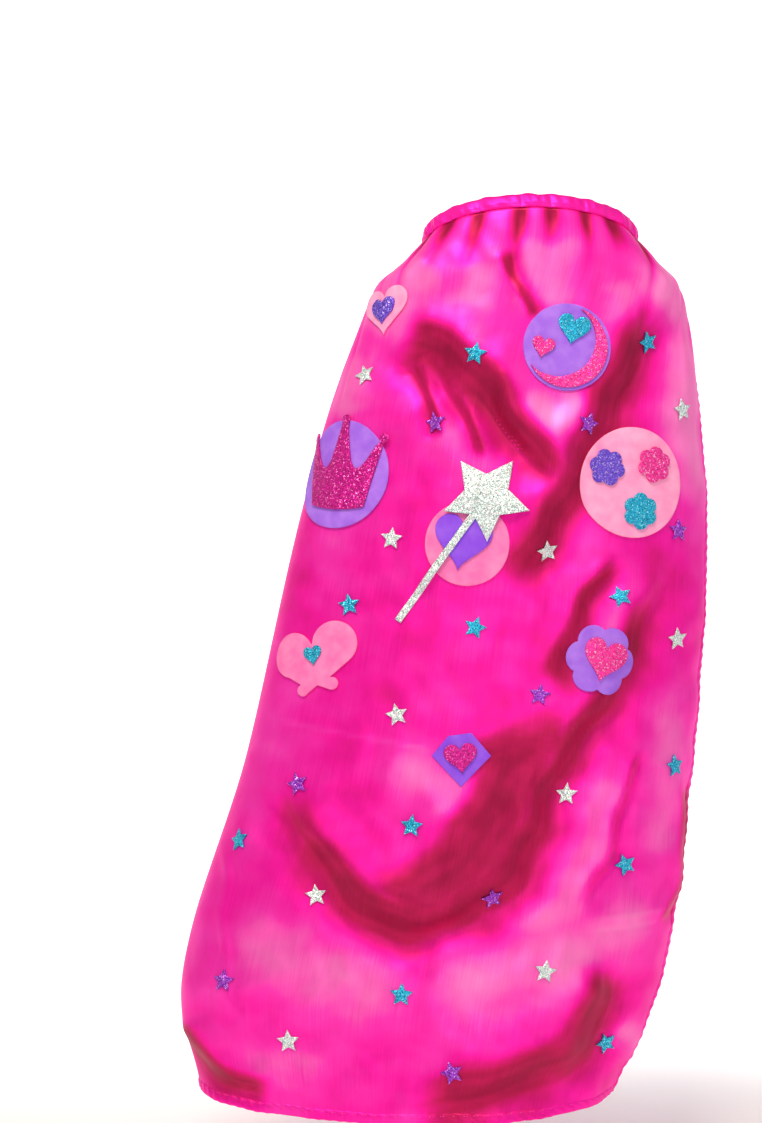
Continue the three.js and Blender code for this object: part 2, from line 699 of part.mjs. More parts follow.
function addWandPatch() {
  const seated = seat(placed(patches.wand.at));
  const radius = patches.wand.reach;
  stick("wand_disc", fanPatch(roundOutline(radius, radius, 24), 3), seated, firstLayer, foamMaterials.pinkFoam);
  const heart = turnPatch(fanPatch(heartOutline(56, 54, 20), 2), -10, [-5, 0]);
  stick("wand_heart", heart, seated, secondLayer, foamMaterials.deepPurpleFoam);
  // One piece of glitter foam: a star with a straight stick that leaves one of its notches.
  const starAt = [19.2, 45];
  const stickWidth = 7;
  const stickReach = 148; // from the star's middle
  const stickTurn = -126; // degrees
  const star = starOutline(44, 0.5);
  const notch = 3; // the notch that the stick leaves, counted round the star
  const notchAngle = THREE.MathUtils.radToDeg(Math.atan2(star[notch][1], star[notch][0]));
  const notchReach = Math.hypot(...star[notch]) + 1.5;
  const along = THREE.MathUtils.degToRad(notchAngle);
  const stickEdge = (reach, side) => [
    reach * Math.cos(along) - (side * stickWidth * Math.sin(along)) / 2,
    reach * Math.sin(along) + (side * stickWidth * Math.cos(along)) / 2,
  ];
  const outline = [...star];
  outline.splice(notch, 1, stickEdge(notchReach, -1), stickEdge(notchReach, 1));
  const steps = evenly(notchReach, stickReach, 10);
  const handle = stripPatch(steps, (reach) => stickEdge(reach, -1), (reach) => stickEdge(reach, 1));
  const wand = turnPatch(joinPatches(fanPatch(outline, 3), handle), stickTurn - notchAngle, starAt);
  // Past the disc's rim the wand bends down to the satin.
  const bendFrom = radius + 3;
  const bendLength = 30;
  const settle = (x, y) => {
    const past = clamp((Math.hypot(x, y) - bendFrom) / bendLength, 0, 1);
    return thirdLayer + (firstLayer - thirdLayer) * smooth(past);
  };
  stick("wand", wand, seated, thirdLayer, foamMaterials.silverGlitter, settle);
}

function addFlowersPatch() {
  const seated = seat(placed(patches.flowers.at));
  const radius = patches.flowers.reach;
  stick("flowers_disc", fanPatch(roundOutline(radius, radius, 28), 4), seated, firstLayer, foamMaterials.paleFoam);
  const blooms = [
    { name: "bloom_purple", at: [-27, 14], turn: -14, material: foamMaterials.purpleGlitter },
    { name: "bloom_pink", at: [22, 18], turn: 20, material: foamMaterials.pinkGlitter },
    { name: "bloom_turquoise", at: [7, -28], turn: 30, material: foamMaterials.turquoiseGlitter },
  ];
  for (const bloom of blooms) {
    const flower = turnPatch(fanPatch(flowerOutline(17.5), 1), bloom.turn, bloom.at);
    stick(bloom.name, flower, seated, secondLayer, bloom.material);
  }
}

// Two large wings and two small tails that meet at a waist.
function addButterflyPatch() {
  const seated = seat(placed(patches.butterfly.at));
  const arcs = [
    { at: [-25, 22.6], radius: 22.3, from: 25, to: 262 },
    { at: [-13, -12.5], radius: 5.8, from: 110, to: 330 },
    { at: [15.5, -6.5], radius: 6.3, from: 235, to: 465 },
    { at: [18.2, 32.5], radius: 22, from: -52, to: 180 },
  ];
  const waist = { 1: [1.8, -7.8] };
  const outline = arcs.flatMap(({ at, radius, from, to }, which) => {
    const count = radius > 10 ? 13 : 7;
    const arc = Array.from({ length: count }, (_, k) => {
      const angle = THREE.MathUtils.degToRad(from + ((to - from) * k) / (count - 1));
      return [at[0] + radius * Math.cos(angle), at[1] + radius * Math.sin(angle)];
    });
    return waist[which] ? [...arc, waist[which]] : arc;
  });
  const widen = 1.1;
  const base = turnPatch(fanPatch(outline.map(([x, y]) => [x * widen, y]), 3), 0, [3.5, -18]);
  stick("butterfly_base", base, seated, firstLayer, foamMaterials.pinkFoam);
  const top = turnPatch(fanPatch(heartOutline(20, 19, 14), 1), 8, [1, 3]);
  stick("butterfly_heart", top, seated, secondLayer, foamMaterials.turquoiseGlitter);
}

function addBlossomPatch() {
  const seated = seat(placed(patches.blossom.at));
  const base = turnPatch(fanPatch(flowerOutline(patches.blossom.reach, 36), 2), -8);
  stick("blossom_base", base, seated, firstLayer, foamMaterials.purpleFoam);
  const top = turnPatch(fanPatch(heartOutline(43, 42, 20), 2), -15, [2.8, -1.4]);
  stick("blossom_heart", top, seated, secondLayer, foamMaterials.pinkGlitter);
}

function addGemPatch() {
  const seated = seat(placed(patches.gem.at));
  const corners = [[9, 25], [-13, 22], [-29, 3], [-1, -27], [28, 3]];
  stick("gem_base", fanPatch(splitEdges(corners, 3), 3), seated, firstLayer, foamMaterials.deepPurpleFoam);
  const top = turnPatch(fanPatch(heartOutline(32, 29), 1), 6, [-1, 0]);
  stick("gem_heart", top, seated, secondLayer, foamMaterials.magentaGlitter);
}

// Small glitter stars, by colour: [right of the spine, up, turn in degrees]. One that names a larger shape
// lies beside it, and counts from that shape's middle.
const stars = {
  silver: [
    [-164, -138, 8],
    [147, -171, 10],
    [-138, -298, -6],
    [12, -310, 5],
    [141, -397, 0],
    [-133, -468, 12],
    [31, -545, -4],
    [-212, -644, 6],
    [8, -713, -10],
    [-238, -783, 4],
  ],
  turquoise: [
    [-58, -119, -10],
    [112, -106, 14],
    [-180, -362, 6],
    [-58, -383, -18],
    [83, -354, 20],
    [-120, -574, -6],
    [139, -521, 8],
    [88, -615, 20],
    [-130, -734, -4],
    [70, -790, 16],
    [-288, -595, 0],
  ],
  plum: [
    [-96, -186, 10],
    [51, -186, -20],
    [4, -449, -10],
    [-230, -536, 14],
    [-42, -643, 6],
    [-303, -729, -8],
    [-81, -807, 18],
    [46, -47, 0, "flowers"],
  ],
};

function addStars() {
  const materials = {
    silver: foamMaterials.silverGlitter,
    turquoise: foamMaterials.turquoiseGlitter,
    plum: foamMaterials.plumGlitter,
  };
  for (const [colour, places] of Object.entries(stars)) {
    places.forEach(([x, z, turn, beside], k) => {
      const patch = turnPatch(fanPatch(starOutline(starRadius), 1), turn);
      const [fromX, fromZ] = beside ? placed(patches[beside].at) : [0, 0];
      const place = beside ? [fromX + x, fromZ + z] : placed([x, z]);
      stick(`star_${colour}_${k + 1}`, patch, seat(place), firstLayer, materials[colour]);
    });
  }
}

addPanel();
addHem();
addNeckBand();
addClosure();
addHeartPatch();
addMoonPatch();
addCrownPatch();
addWandPatch();
addFlowersPatch();
addButterflyPatch();
addBlossomPatch();
addGemPatch();
addStars();

export default cape;
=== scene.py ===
# %% [markdown]
# # A child's satin cape with craft-foam shapes
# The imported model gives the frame: where the neck band, the panel and the closure are, and which body
# each rides on. This script dresses it. One surface formula gives the worn cloth, and every piece of the
# cape is laid on that same surface, as the real foam shapes are glued on the real satin.

import bpy
import numpy as np
from mathutils import Euler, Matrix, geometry


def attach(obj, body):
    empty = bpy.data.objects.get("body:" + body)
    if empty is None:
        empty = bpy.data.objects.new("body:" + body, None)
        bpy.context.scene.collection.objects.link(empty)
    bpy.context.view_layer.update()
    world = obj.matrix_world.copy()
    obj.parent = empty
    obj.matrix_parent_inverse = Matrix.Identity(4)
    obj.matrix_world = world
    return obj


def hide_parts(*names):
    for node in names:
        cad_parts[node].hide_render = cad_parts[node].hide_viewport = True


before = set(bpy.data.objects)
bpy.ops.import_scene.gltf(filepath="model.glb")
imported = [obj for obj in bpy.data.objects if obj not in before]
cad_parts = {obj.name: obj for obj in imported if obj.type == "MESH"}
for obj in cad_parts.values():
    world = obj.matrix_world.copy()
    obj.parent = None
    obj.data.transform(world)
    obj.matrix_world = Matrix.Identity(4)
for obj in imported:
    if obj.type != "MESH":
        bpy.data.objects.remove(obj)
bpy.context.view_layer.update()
MM = 0.001

# %% [markdown]
# ## Camera
# The wearer is seen from behind, from about the height of the middle of the back, with a long lens that
# keeps the hem and the shoulders in proportion. The cape fills the right of a tall frame.

# %% Camera
VIEW_AT = np.array([-0.149, -0.09, -0.320])
VIEW_DISTANCE = 2.6
VIEW_RISE = 0.05
camera = bpy.data.objects.new("camera", bpy.data.cameras.new("camera"))
camera.data.lens = 86
camera.location = VIEW_AT + np.array([0, -VIEW_DISTANCE, VIEW_RISE])
camera.rotation_euler = Euler((np.pi / 2 - np.arctan2(VIEW_RISE, VIEW_DISTANCE), 0, 0))
bpy.context.scene.collection.objects.link(camera)
bpy.context.scene.camera = camera
print("camera at", np.round(camera.location, 3))

# %% [markdown]
# ## The worn cape as a surface
# Cloth simulation could drape the panel, but it would not put each fold where it belongs. The drape is
# worked out instead: a table of level sections, each part of an ellipse, blended by cubic curves. It is
# the same table that the CAD panel was made from, so the cloth hangs in the place that the CAD keeps.

# %% Sections of the drape
NECK_WIDE, NECK_DEEP, NECK_TILT, NECK_SPAN = 105.0, 70.0, np.radians(28), 165.0
CAPE_DROP, CAPE_WIDE, CAPE_DEEP, HEM_SWAY = 852.0, 240.0, 120.0, -116.0
CASING_HEIGHT = 14.0
SEAM_DROP = CASING_HEIGHT / 2 + 0.4


def section(at, down, rise, sway, back, spread, bow, left, right):
    """One level: share down the cloth, then height, rise, across, back, wide, deep, left and right."""
    neck_deep = NECK_DEEP * np.cos(NECK_TILT)
    wide = NECK_WIDE + spread * (CAPE_WIDE - NECK_WIDE)
    deep = neck_deep + bow * (CAPE_DEEP - neck_deep)
    return [at, -down * CAPE_DROP, rise, sway * HEM_SWAY, back, wide, deep, left, right]


SECTIONS = np.array(
    [
        section(0, 0, NECK_DEEP * np.sin(NECK_TILT), 0, 0, 0, 0, NECK_SPAN, NECK_SPAN),
        section(0.035, 0.032, 25, 0, -3, 0.16, 0.12, 152, 150),
        section(0.07, 0.055, 18, 0.02, -2, 0.33, 0.24, 138, 134),
        section(0.11, 0.089, 14, 0.035, 0, 0.42, 0.33, 124, 116),
        section(0.21, 0.191, 8, 0.13, -2, 0.58, 0.45, 108, 93),
        section(0.34, 0.327, 3, 0.23, -4, 0.73, 0.57, 102, 86),
        section(0.6, 0.601, -5, 0.51, -8, 0.88, 0.79, 100, 84),
        section(0.86, 0.872, -10, 0.9, -12, 1, 1, 98, 82),
        section(1, 0.99, -14, 1, -16, 0.76, 1.07, 96, 80),
    ]
)
SECTIONS[0, 1] = -SEAM_DROP * np.cos(NECK_TILT)
SECTIONS[0, 4] = -SEAM_DROP * np.sin(NECK_TILT)


def sections_at(v):
    """The table's columns at v, by a Hermite cubic between the two rows about v, with the mean slope
    of the neighbouring spans at each row."""
    last = len(SECTIONS) - 1
    at = SECTIONS[:, 0]
    i = np.searchsorted(at[1:-1], v, side="left")
    rows = [np.clip(i + k, 0, last) for k in (-1, 0, 1, 2)]
    p0, p1, p2, p3 = (SECTIONS[row] for row in rows)
    span = (p2[..., 0] - p1[..., 0])[..., None]

    def slope(a, b, same):
        run = np.where(same, 1, b[..., 0] - a[..., 0])[..., None]
        return np.where(same[..., None], 0, (b - a) / run * span)

    first, end = rows[0] == rows[1], rows[2] == rows[3]
    middle = slope(p1, p2, np.zeros_like(first))
    m1 = (slope(p0, p1, first) + middle) / np.where(first, 1, 2)[..., None]
    m2 = (middle + slope(p2, p3, end)) / np.where(end, 1, 2)[..., None]
    t = (v[..., None] - p1[..., :1]) / span
    curve = (2 * t**3 - 3 * t**2 + 1) * p1 + (t**3 - 2 * t**2 + t) * m1
    return curve + (3 * t**2 - 2 * t**3) * p2 + (t**3 - t**2) * m2


def angles(count, start=0.0, end=360.0, closed=False):
    """Evenly spaced angles in radians, from degrees."""
    return np.radians(np.linspace(start, end, count, endpoint=closed))


def smooth(t):
    """0 below 0, 1 above 1 and 3t^2 - 2t^3 between."""
    t = np.clip(t, 0, 1)
    return t * t * (3 - 2 * t)


def unit(vectors):
    """The vectors along the last axis, each at length 1."""
    return vectors / np.linalg.norm(vectors, axis=-1, keepdims=True)


def bowed(wave, power):
    """A sine or cosine with its swing squared off: its sign times |wave| to the power."""
    return np.sign(wave) * np.abs(wave) ** power


def travelled(line):
    """How far along a line each of its points lies, from 0."""
    return np.concatenate([[0], np.cumsum(np.linalg.norm(np.diff(line, axis=0), axis=1))])


# %% [markdown]
# ## Folds
# Satin shows its folds by the way each face of a fold looks: a face that looks down goes deep crimson,
# and one that looks up goes pale. So each fold is given by the middle line of its shaded face, walked so
# that the face looks to the right of the way. Across that line the cloth goes from a ridge to a valley
# as -t exp(-t^2), where t is the distance over the fold's width. Each fold also says how deep a crimson
# shade is painted into the colour of its face, and a second table places painted pale highlights on the
# smooth crowns. The two together make one attribute of painted light, from -1, painted shade deep in a
# fold, to 1, a painted highlight on the crown of one.

# %% Fold lines, in millimetres right of the spine and up, seen from behind
FOLDS = [
    # (points along the shaded face, width at its start and its end, height of the ridge, depth of painted
    # shade)
    ([(-138, -94), (-92, -116), (-50, -150), (-12, -196), (22, -245)], 30, 26, 8, 1.0),
    ([(-118, -120), (-100, -160), (-92, -205)], 12, 8, 3, 0.8),
    ([(-84, -132), (-66, -178), (-52, -226)], 13, 9, 3.5, 0.85),
    ([(-44, -140), (-24, -180), (-4, -228)], 13, 10, 3.5, 0.9),
    ([(-24, -356), (5, -300), (36, -240), (66, -182), (92, -122), (122, -58)], 25, 32, 9, 1.0),
    ([(-3, -88), (-14, -56), (-29, -20)], 10, 8, 2.5, 0.9),
    ([(6, -440), (29, -405), (53, -357), (84, -308)], 17, 13, 4.5, 0.9),
    (
        [(-240, -530), (-228, -575), (-194, -628), (-145, -660), (-88, -664), (-38, -634), (-4, -582)]
        + [(18, -530), (46, -478), (82, -418), (112, -358), (148, -286)],
        30,
        20,
        9,
        1.0,
    ),
    ([(-165, -658), (-104, -636), (-56, -592), (-20, -534), (22, -474)], 46, 34, 3, 1.0),
    ([(-75, -515), (-20, -503), (36, -472)], 24, 28, 2, 0.8),
    ([(36, -655), (70, -600), (94, -540), (112, -500)], 9, 9, 3.5, 0.4),
    ([(-134, -840), (-44, -822), (26, -792), (58, -750), (72, -700)], 32, 26, 7, 1.0),
    ([(-348, -772), (-315, -815), (-254, -842)], 15, 15, 4, 0.95),
    ([(134, -684), (150, -628), (160, -531)], 12, 12, 3, 0.7),
    ([(-286, -771), (-296, -690), (-301, -598)], 7, 7, 1.6, 0.05),
]
PAINTED_HIGHLIGHTS = [
    # (points along a painted highlight on a smooth crown, width, strength of the painted highlight)
    ([(-158, -98), (-131, -56), (-100, -26)], 30, 0.7),
    ([(-60, -30), (-70, -78)], 26, 0.6),
    ([(10, 0), (16, -78)], 28, 0.6),
    ([(75, -40), (80, -90)], 18, 0.5),
    ([(111, -27), (145, -76), (157, -163), (160, -290)], 28, 1.0),
    ([(-12, -156), (24, -182), (55, -156)], 19, 1.0),
    ([(-182, -112), (-172, -175)], 26, 0.6),
    ([(-110, -190), (-60, -215), (-20, -250)], 24, 0.4),
    ([(-142, -512), (-84, -536), (-76, -574)], 24, 0.85),
    ([(120, -440), (135, -530), (121, -620)], 30, 0.65),
    ([(72, -505), (56, -570), (28, -640), (-20, -690)], 30, 0.85),
    ([(-300, -690), (-208, -712), (-110, -722)], 42, 0.8),
    ([(-110, -735), (-20, -715), (70, -680), (120, -650)], 38, 0.9),
    ([(60, -400), (121, -337)], 20, 0.6),
    ([(-240, -415), (-268, -531), (-296, -650)], 26, 0.3),
    ([(60, -270), (20, -345)], 18, 0.6),
    ([(-300, -800), (-200, -815)], 22, 0.45),
    ([(84, -772), (118, -806)], 15, 1.0),
    ([(-185, -250), (-205, -340)], 20, 0.35),
]
CREASES = [
    # the lines of the packing folds: (from, to, height)
    ((-257, -475), (-92, -502), 0.9),
    ((-270, -401), (-190, -404), 0.7),
    ((53, -667), (150, -663), 0.8),
    ((53, -676), (150, -672), -0.8),
    ((-116, -108), (-44, -107), 0.6),
    # the corner that turns back at the lower right
    ((60, -768), (112, -822), 2.4),
]
# width of a crease's relief, and of the thin painted highlight along it
CREASE_WIDTH, CREASE_HIGHLIGHT_WIDTH = 5.0, 2.5
PATCHES = {
    # where each foam patch is stuck, right of the spine and up, and how far it reaches
    "heart": (-145, -75, 26),
    "moon": (31, -112, 43),
    "crown": (-190, -235, 54),
    "wand": (-66, -303, 41),
    "flowers": (96, -243, 54),
    "butterfly": (-215, -416, 50),
    "blossom": (63, -415, 35),
    "gem": (-71, -509, 30),
}
HELD_FLAT, FLAT_MARGIN = 0.85, 12.0  # how much stiff foam flattens the cloth, and how far past its rim


def along_curve(points, count):
    """count points on a Catmull-Rom curve through the given ones."""
    p = np.array(points, float)
    p = np.vstack([2 * p[0] - p[1], p, 2 * p[-1] - p[-2]])
    at = np.linspace(0, len(points) - 1, count)
    i = np.minimum(at.astype(int), len(points) - 2)
    t = (at - i)[:, None]
    a, b, c, d = p[i], p[i + 1], p[i + 2], p[i + 3]
    return 0.5 * (2 * b + (c - a) * t + (2 * a - 5 * b + 4 * c - d) * t**2 + (3 * b - a - 3 * c + d) * t**3)


def from_line(x, z, line):
    """For each (x, z): its distance from a line of points, positive on the right of the way, and its
    share of the way along."""
    best = np.full(x.shape, np.inf)
    side = np.zeros(x.shape)
    share = np.zeros(x.shape)
    steps = len(line) - 1
    for k in range(steps):
        (ax, az), (bx, bz) = line[k], line[k + 1]
        dx, dz = bx - ax, bz - az
        t = np.clip(((x - ax) * dx + (z - az) * dz) / (dx * dx + dz * dz), 0, 1)
        ox, oz = x - ax - t * dx, z - az - t * dz
        gap = ox * ox + oz * oz
        nearer = gap < best
        best = np.where(nearer, gap, best)
        side = np.where(nearer, np.sign(dz * ox - dx * oz), side)
        share = np.where(nearer, (k + t) / steps, share)
    return np.sqrt(best) * side, share


CRUMPLES = [
    # (heading in degrees, wavelength along it, height): slight waves that run one way and wander the other
    (12, 31, 0.42),
    (-38, 47, 0.6),
    (64, 74, 0.7),
    (-4, 17, 0.14),
    (100, 120, 0.9),
]


def crumple(x, z):
    """A sum of sine waves, each bent by a slower wave across its own way."""
    lift = np.zeros(x.shape)
    for heading, length, height in CRUMPLES:
        c, s = np.cos(np.radians(heading)), np.sin(np.radians(heading))
        along, across = c * x + s * z, c * z - s * x
        bend = 1.9 * np.sin(across / (0.55 * length) + heading) + 1.2 * np.sin(across / (1.3 * length))
        lift += height * np.sin(2 * np.pi * along / length + bend)
    return lift


def fold_relief(x, z):
    """How far the folds and creases lift the cloth at (x, z), less where stiff foam holds it flat, and the
    painted light there, from -1, painted shade, to 1, a painted highlight."""
    lift = crumple(x, z)
    shade = np.zeros(x.shape)
    shine = np.zeros(x.shape)
    peak = np.sqrt(2 * np.e)
    wx = x + 4 * np.sin(z / 29 + 1) + 2.5 * np.sin(z / 11 + x / 23)
    wz = z + 4 * np.sin(x / 33) + 2.5 * np.sin(x / 13 - z / 19)
    for points, first, last, height, painted_shade_depth in FOLDS:
        away, share = from_line(wx, wz, along_curve(points, 6 * len(points)))
        t = away / (first + (last - first) * share)
        fade = smooth(share / 0.16) * smooth((1 - share) / 0.16)
        lift -= height * peak * t * np.exp(-t * t) * fade
        # painted shade across each fold's face: a sharp edge on the ridge side, a soft one down the valley
        ridge_side = np.exp(-(np.abs(t / 0.8) ** 4))
        valley_side = np.exp(-(np.abs(t / 1.1) ** 1.9))
        along = 0.06 * np.sin(2 * np.pi * t * 1.7 + 5 * share) + 0.04 * np.sin(2 * np.pi * t * 3.1 - 9 * share)
        shade = np.maximum(shade, np.where(t > 0, valley_side, ridge_side) * fade * painted_shade_depth * (0.9 + along))
    # painted pale highlights along the crowns
    for points, width, strength in PAINTED_HIGHLIGHTS:
        away, share = from_line(wx, wz, along_curve(points, 6 * len(points)))
        fade = smooth(share / 0.3 + 0.3) * smooth((1 - share) / 0.3 + 0.3)
        shine = np.maximum(shine, np.exp(-((away / width) ** 2)) * fade * strength)
    for start, end, height in CREASES:
        away, share = from_line(x, z, np.array([start, end], float))
        fade = smooth(share / 0.15) * smooth((1 - share) / 0.15)
        lift += height * np.exp(-np.abs(away) / CREASE_WIDTH) * fade
        # a thin painted highlight along each crease
        shine += 0.25 * np.exp(-((away / CREASE_HIGHLIGHT_WIDTH) ** 2)) * fade
    for px, pz, reach in PATCHES.values():
        away = np.hypot(x - px, z - pz) / (reach + FLAT_MARGIN)
        lift *= 1 - HELD_FLAT * np.exp(-(away**4))
    # painted highlight: the colour turns paler towards the shoulders and towards the hem
    painted_highlight_bands = 0.18 * smooth((z + 300) / 180) + 0.08 * smooth((-640 - z) / 100)
    # painted shade and highlight together, with faint painted ripples of light and shade over all
    return lift, (0.8 * shine + painted_highlight_bands) * (1 - shade) - shade + 0.07 * crumple(z, x + 31)


GATHERS = 17  # puffs of cloth between the pulls of the gathering, round the neck
GATHER_HEIGHT = 3.8
GATHER_DOWN = 0.13  # share of the cloth's length that the gathers reach down


def puffs(u):
    """The gathering's uneven count across, and its rounded puffs, 0 at each pull and 1 between."""
    uneven = u + 0.006 * np.sin(23 * u) + 0.004 * np.sin(61 * u + 1)
    return uneven, np.abs(np.sin(np.pi * GATHERS * uneven)) ** 0.8


def gather_relief(u, v):
    """Lift of the puffs under the casing, with painted highlights on the puffs and painted shade between
    them just under the casing, all dying out down the cloth at a different length in each puff."""
    puff = puffs(u)[1] - 0.6
    length = GATHER_DOWN * (0.75 + 0.45 * np.sin(37 * u + 0.6) * np.sin(11 * u))
    fall = np.exp(-((v / length) ** 1.3))
    scallop_shade = np.exp(-((v / (0.4 * length)) ** 1.8))
    lift = GATHER_HEIGHT * puff * fall * (0.25 + 0.75 * smooth(v / 0.012))
    # painted highlight on the puffs, less painted shade in the scallops between them
    return lift, 0.5 * fall * (puff + 0.05) - scallop_shade * smooth(0.55 - puff * 1.2) * 1.2


WAVE_HEIGHT, WAVE_COUNT, WAVE_START = 7.0, 3.5, 0.55  # slow waves that open the cloth towards its hem


def cape_point(u, v):
    """The outside of the satin, and its painted shade and highlight: u from its left edge to its right
    edge, v from the neck seam to the hem, both 0 to 1. Each section is x = across + wide sin a, y = back -
    deep cos a, z = height + rise cos a, and the relief is laid on along the section's own normal."""
    _, height, rise, across, back, wide, deep, left, right = np.moveaxis(sections_at(v), -1, 0)
    turn = np.radians(-left + u * (left + right))
    x = across + wide * np.sin(turn)
    y = back - deep * np.cos(turn)
    z = height + rise * np.cos(turn)
    lift = WAVE_HEIGHT * smooth((v - WAVE_START) / (1 - WAVE_START)) * np.sin(turn * WAVE_COUNT)
    behind = smooth(np.cos(turn) / 0.25) * smooth(v / 0.05)
    folded, painted_light = fold_relief(x, z)
    puffed, pleat_painted_light = gather_relief(u, v)
    lift += folded * behind + puffed
    out = unit(np.stack([deep * np.sin(turn), -wide * np.cos(turn)], -1))
    # painted shade and highlight from the folds, on the back only, and from the gathers
    painted_light = np.clip(painted_light * behind + pleat_painted_light, -1, 1)
    return np.stack([x + lift * out[..., 0], y + lift * out[..., 1], z], -1), painted_light


# %% [markdown]
# The surface is measured once on a fine net, about a millimetre to the cell. Everything else reads its
# points, slopes and normals from that net, which is much quicker than the formula.

# %% The measured net
NET_ROWS, NET_COLUMNS = 760, 620
net_u, net_v = np.meshgrid(np.linspace(0, 1, NET_COLUMNS), np.linspace(0, 1, NET_ROWS))
# the net also keeps the painted shade and highlight at each of its points
NET, NET_PAINTED_LIGHT = cape_point(net_u, net_v)
NET_ACROSS = np.gradient(NET, axis=1) * (NET_COLUMNS - 1)
NET_DOWN = np.gradient(NET, axis=0) * (NET_ROWS - 1)
NET_OUT = unit(np.cross(NET_DOWN, NET_ACROSS))
cell_areas = np.linalg.norm(np.cross(NET_ACROSS, NET_DOWN), axis=-1)
print("net box in mm:", NET.min((0, 1)).round(), NET.max((0, 1)).round())
print("cloth area in m2:", round(float(cell_areas.mean()) * 1e-6, 3))


def sample(table, uv):
    """A net's value at each of uv, (n, 2), by mixing the four points round it."""
    rows, columns = table.shape[:2]
    across = np.clip(uv[:, 0], 0, 1) * (columns - 1)
    down = np.clip(uv[:, 1], 0, 1) * (rows - 1)
    i = np.minimum(across.astype(int), columns - 2)
    j = np.minimum(down.astype(int), rows - 2)
    s, t = (across - i)[:, None], (down - j)[:, None]
    top = table[j, i] * (1 - s) + table[j, i + 1] * s
    bottom = table[j + 1, i] * (1 - s) + table[j + 1, i + 1] * s
    return top * (1 - t) + bottom * t


def lifted(uv, level):
    """Points over the cloth at uv, level millimetres out from it."""
    return sample(NET, uv) + unit(sample(NET_OUT, uv)) * np.reshape(level, (-1, 1))


# %% [markdown]
# ## Making meshes
# A piece is a set of points in millimetres and grids of faces between them. Arrays go straight into the
# mesh, so no loop runs over single vertices.

# %% Mesh helpers
def hex_colour(code):
    """An sRGB hex colour as the linear red, green, blue and alpha that Blender works in."""
    srgb = np.array([int(code[k : k + 2], 16) for k in (1, 3, 5)]) / 255
    linear = np.where(srgb <= 0.04045, srgb / 12.92, ((srgb + 0.055) / 1.055) ** 2.4)
    return (*linear.tolist(), 1.0)


def grid_faces(rows, columns, round_rows=False, round_columns=False, first=0):
    """The quads of a grid of points stored row by row, closed on itself where asked."""
    j = np.arange(rows if round_rows else rows - 1)[:, None]
    i = np.arange(columns if round_columns else columns - 1)[None, :]
    below, right = (j + 1) % rows, (i + 1) % columns
    corners = [j * columns + i, below * columns + i, below * columns + right, j * columns + right]
    return first + np.stack(np.broadcast_arrays(*corners), -1).reshape(-1, 4)


def tube_faces(rows, columns, clockwise=False):
    """A tube stored ring by ring: its wall, and a many-sided face over each end. Its faces point
    outwards when each ring runs anticlockwise, seen from the tube's start, or clockwise if so asked."""
    ring = np.arange(columns)[None]
    faces = [grid_faces(rows, columns, round_columns=True), ring, (rows - 1) * columns + ring[:, ::-1]]
    return [face[:, ::-1] for face in faces] if clockwise else faces


def gathered(parts):
    """One list of points and one of faces from several pairs of them."""
    starts = np.cumsum([0] + [len(points) for points, _ in parts])
    faces = [own + start for (_, own), start in zip(parts, starts)]
    return np.vstack([points for points, _ in parts]), faces


def new_piece(name, points, faces, material, slot, nodes=(), body="cape", uv=None, crease=None):
    """A smooth mesh object from points in millimetres and lists of faces. It rides on a body and stands for
    its CAD nodes. slot is not used. uv is one pair for each point, in millimetres, and edges that turn more
    than crease degrees stay sharp."""
    points = np.reshape(points, (-1, 3))
    corners = np.concatenate([face.ravel() for face in faces])
    sizes = np.concatenate([np.full(len(face), face.shape[1]) for face in faces])
    mesh = bpy.data.meshes.new(name)
    mesh.vertices.add(len(points))
    mesh.vertices.foreach_set("co", (points * MM).astype(np.float32).ravel())
    mesh.loops.add(len(corners))
    mesh.loops.foreach_set("vertex_index", corners.astype(np.int32))
    mesh.polygons.add(len(sizes))
    mesh.polygons.foreach_set("loop_start", np.concatenate([[0], np.cumsum(sizes)[:-1]]).astype(np.int32))
    mesh.update(calc_edges=True)
    mesh.shade_smooth()
    if crease is not None:
        mesh.set_sharp_from_angle(angle=np.radians(crease))
    if uv is not None:
        layer = mesh.uv_layers.new(name="cloth")
        layer.data.foreach_set("uv", (uv.reshape(-1, 2)[corners] * MM).astype(np.float32).ravel())
    mesh.materials.append(material)
    piece = bpy.data.objects.new(name, mesh)
    bpy.context.scene.collection.objects.link(piece)
    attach(piece, body)
    if nodes:
        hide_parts(*nodes)
    return piece


# %% [markdown]
# ## Materials
# One helper adds a node with its settings and links. A dict key that is an input's name takes a number,
# a colour or another node's output.

# %% Node helper
def node(material, kind, inputs=(), **settings):
    """A new node of a kind in a material's tree. inputs maps a socket's name or place to a value, or to
    the output that feeds it."""
    made = material.node_tree.nodes.new(kind)
    for key, value in settings.items():
        setattr(made, key, value)
    for key, value in dict(inputs).items():
        socket = made.inputs[key]
        if isinstance(value, bpy.types.NodeSocket):
            material.node_tree.links.new(value, socket)
        else:
            socket.default_value = value
    return made


def ramp(material, factor, stops, interpolation="LINEAR"):
    """A colour ramp with stops of (place, hex colour), fed by factor."""
    made = node(material, "ShaderNodeValToRGB", {"Fac": factor})
    made.color_ramp.interpolation = interpolation
    elements = made.color_ramp.elements
    for place, code in stops[2:]:
        elements.new(place)
    for element, (place, code) in zip(elements, sorted(stops)):
        element.position = place
        element.color = hex_colour(code)
    return made.outputs["Color"]


def new_material(name, sockets=()):
    """A Principled material with its own sockets set, and its shader node."""
    material = bpy.data.materials.new(name)
    material.use_nodes = True
    shader = material.node_tree.nodes["Principled BSDF"]
    for socket, value in dict(sockets).items():
        shader.inputs[socket].default_value = value
    return material, shader


def join(material, output, shader, socket):
    """Links an output to a socket of the shader."""
    material.node_tree.links.new(output, shader.inputs[socket])
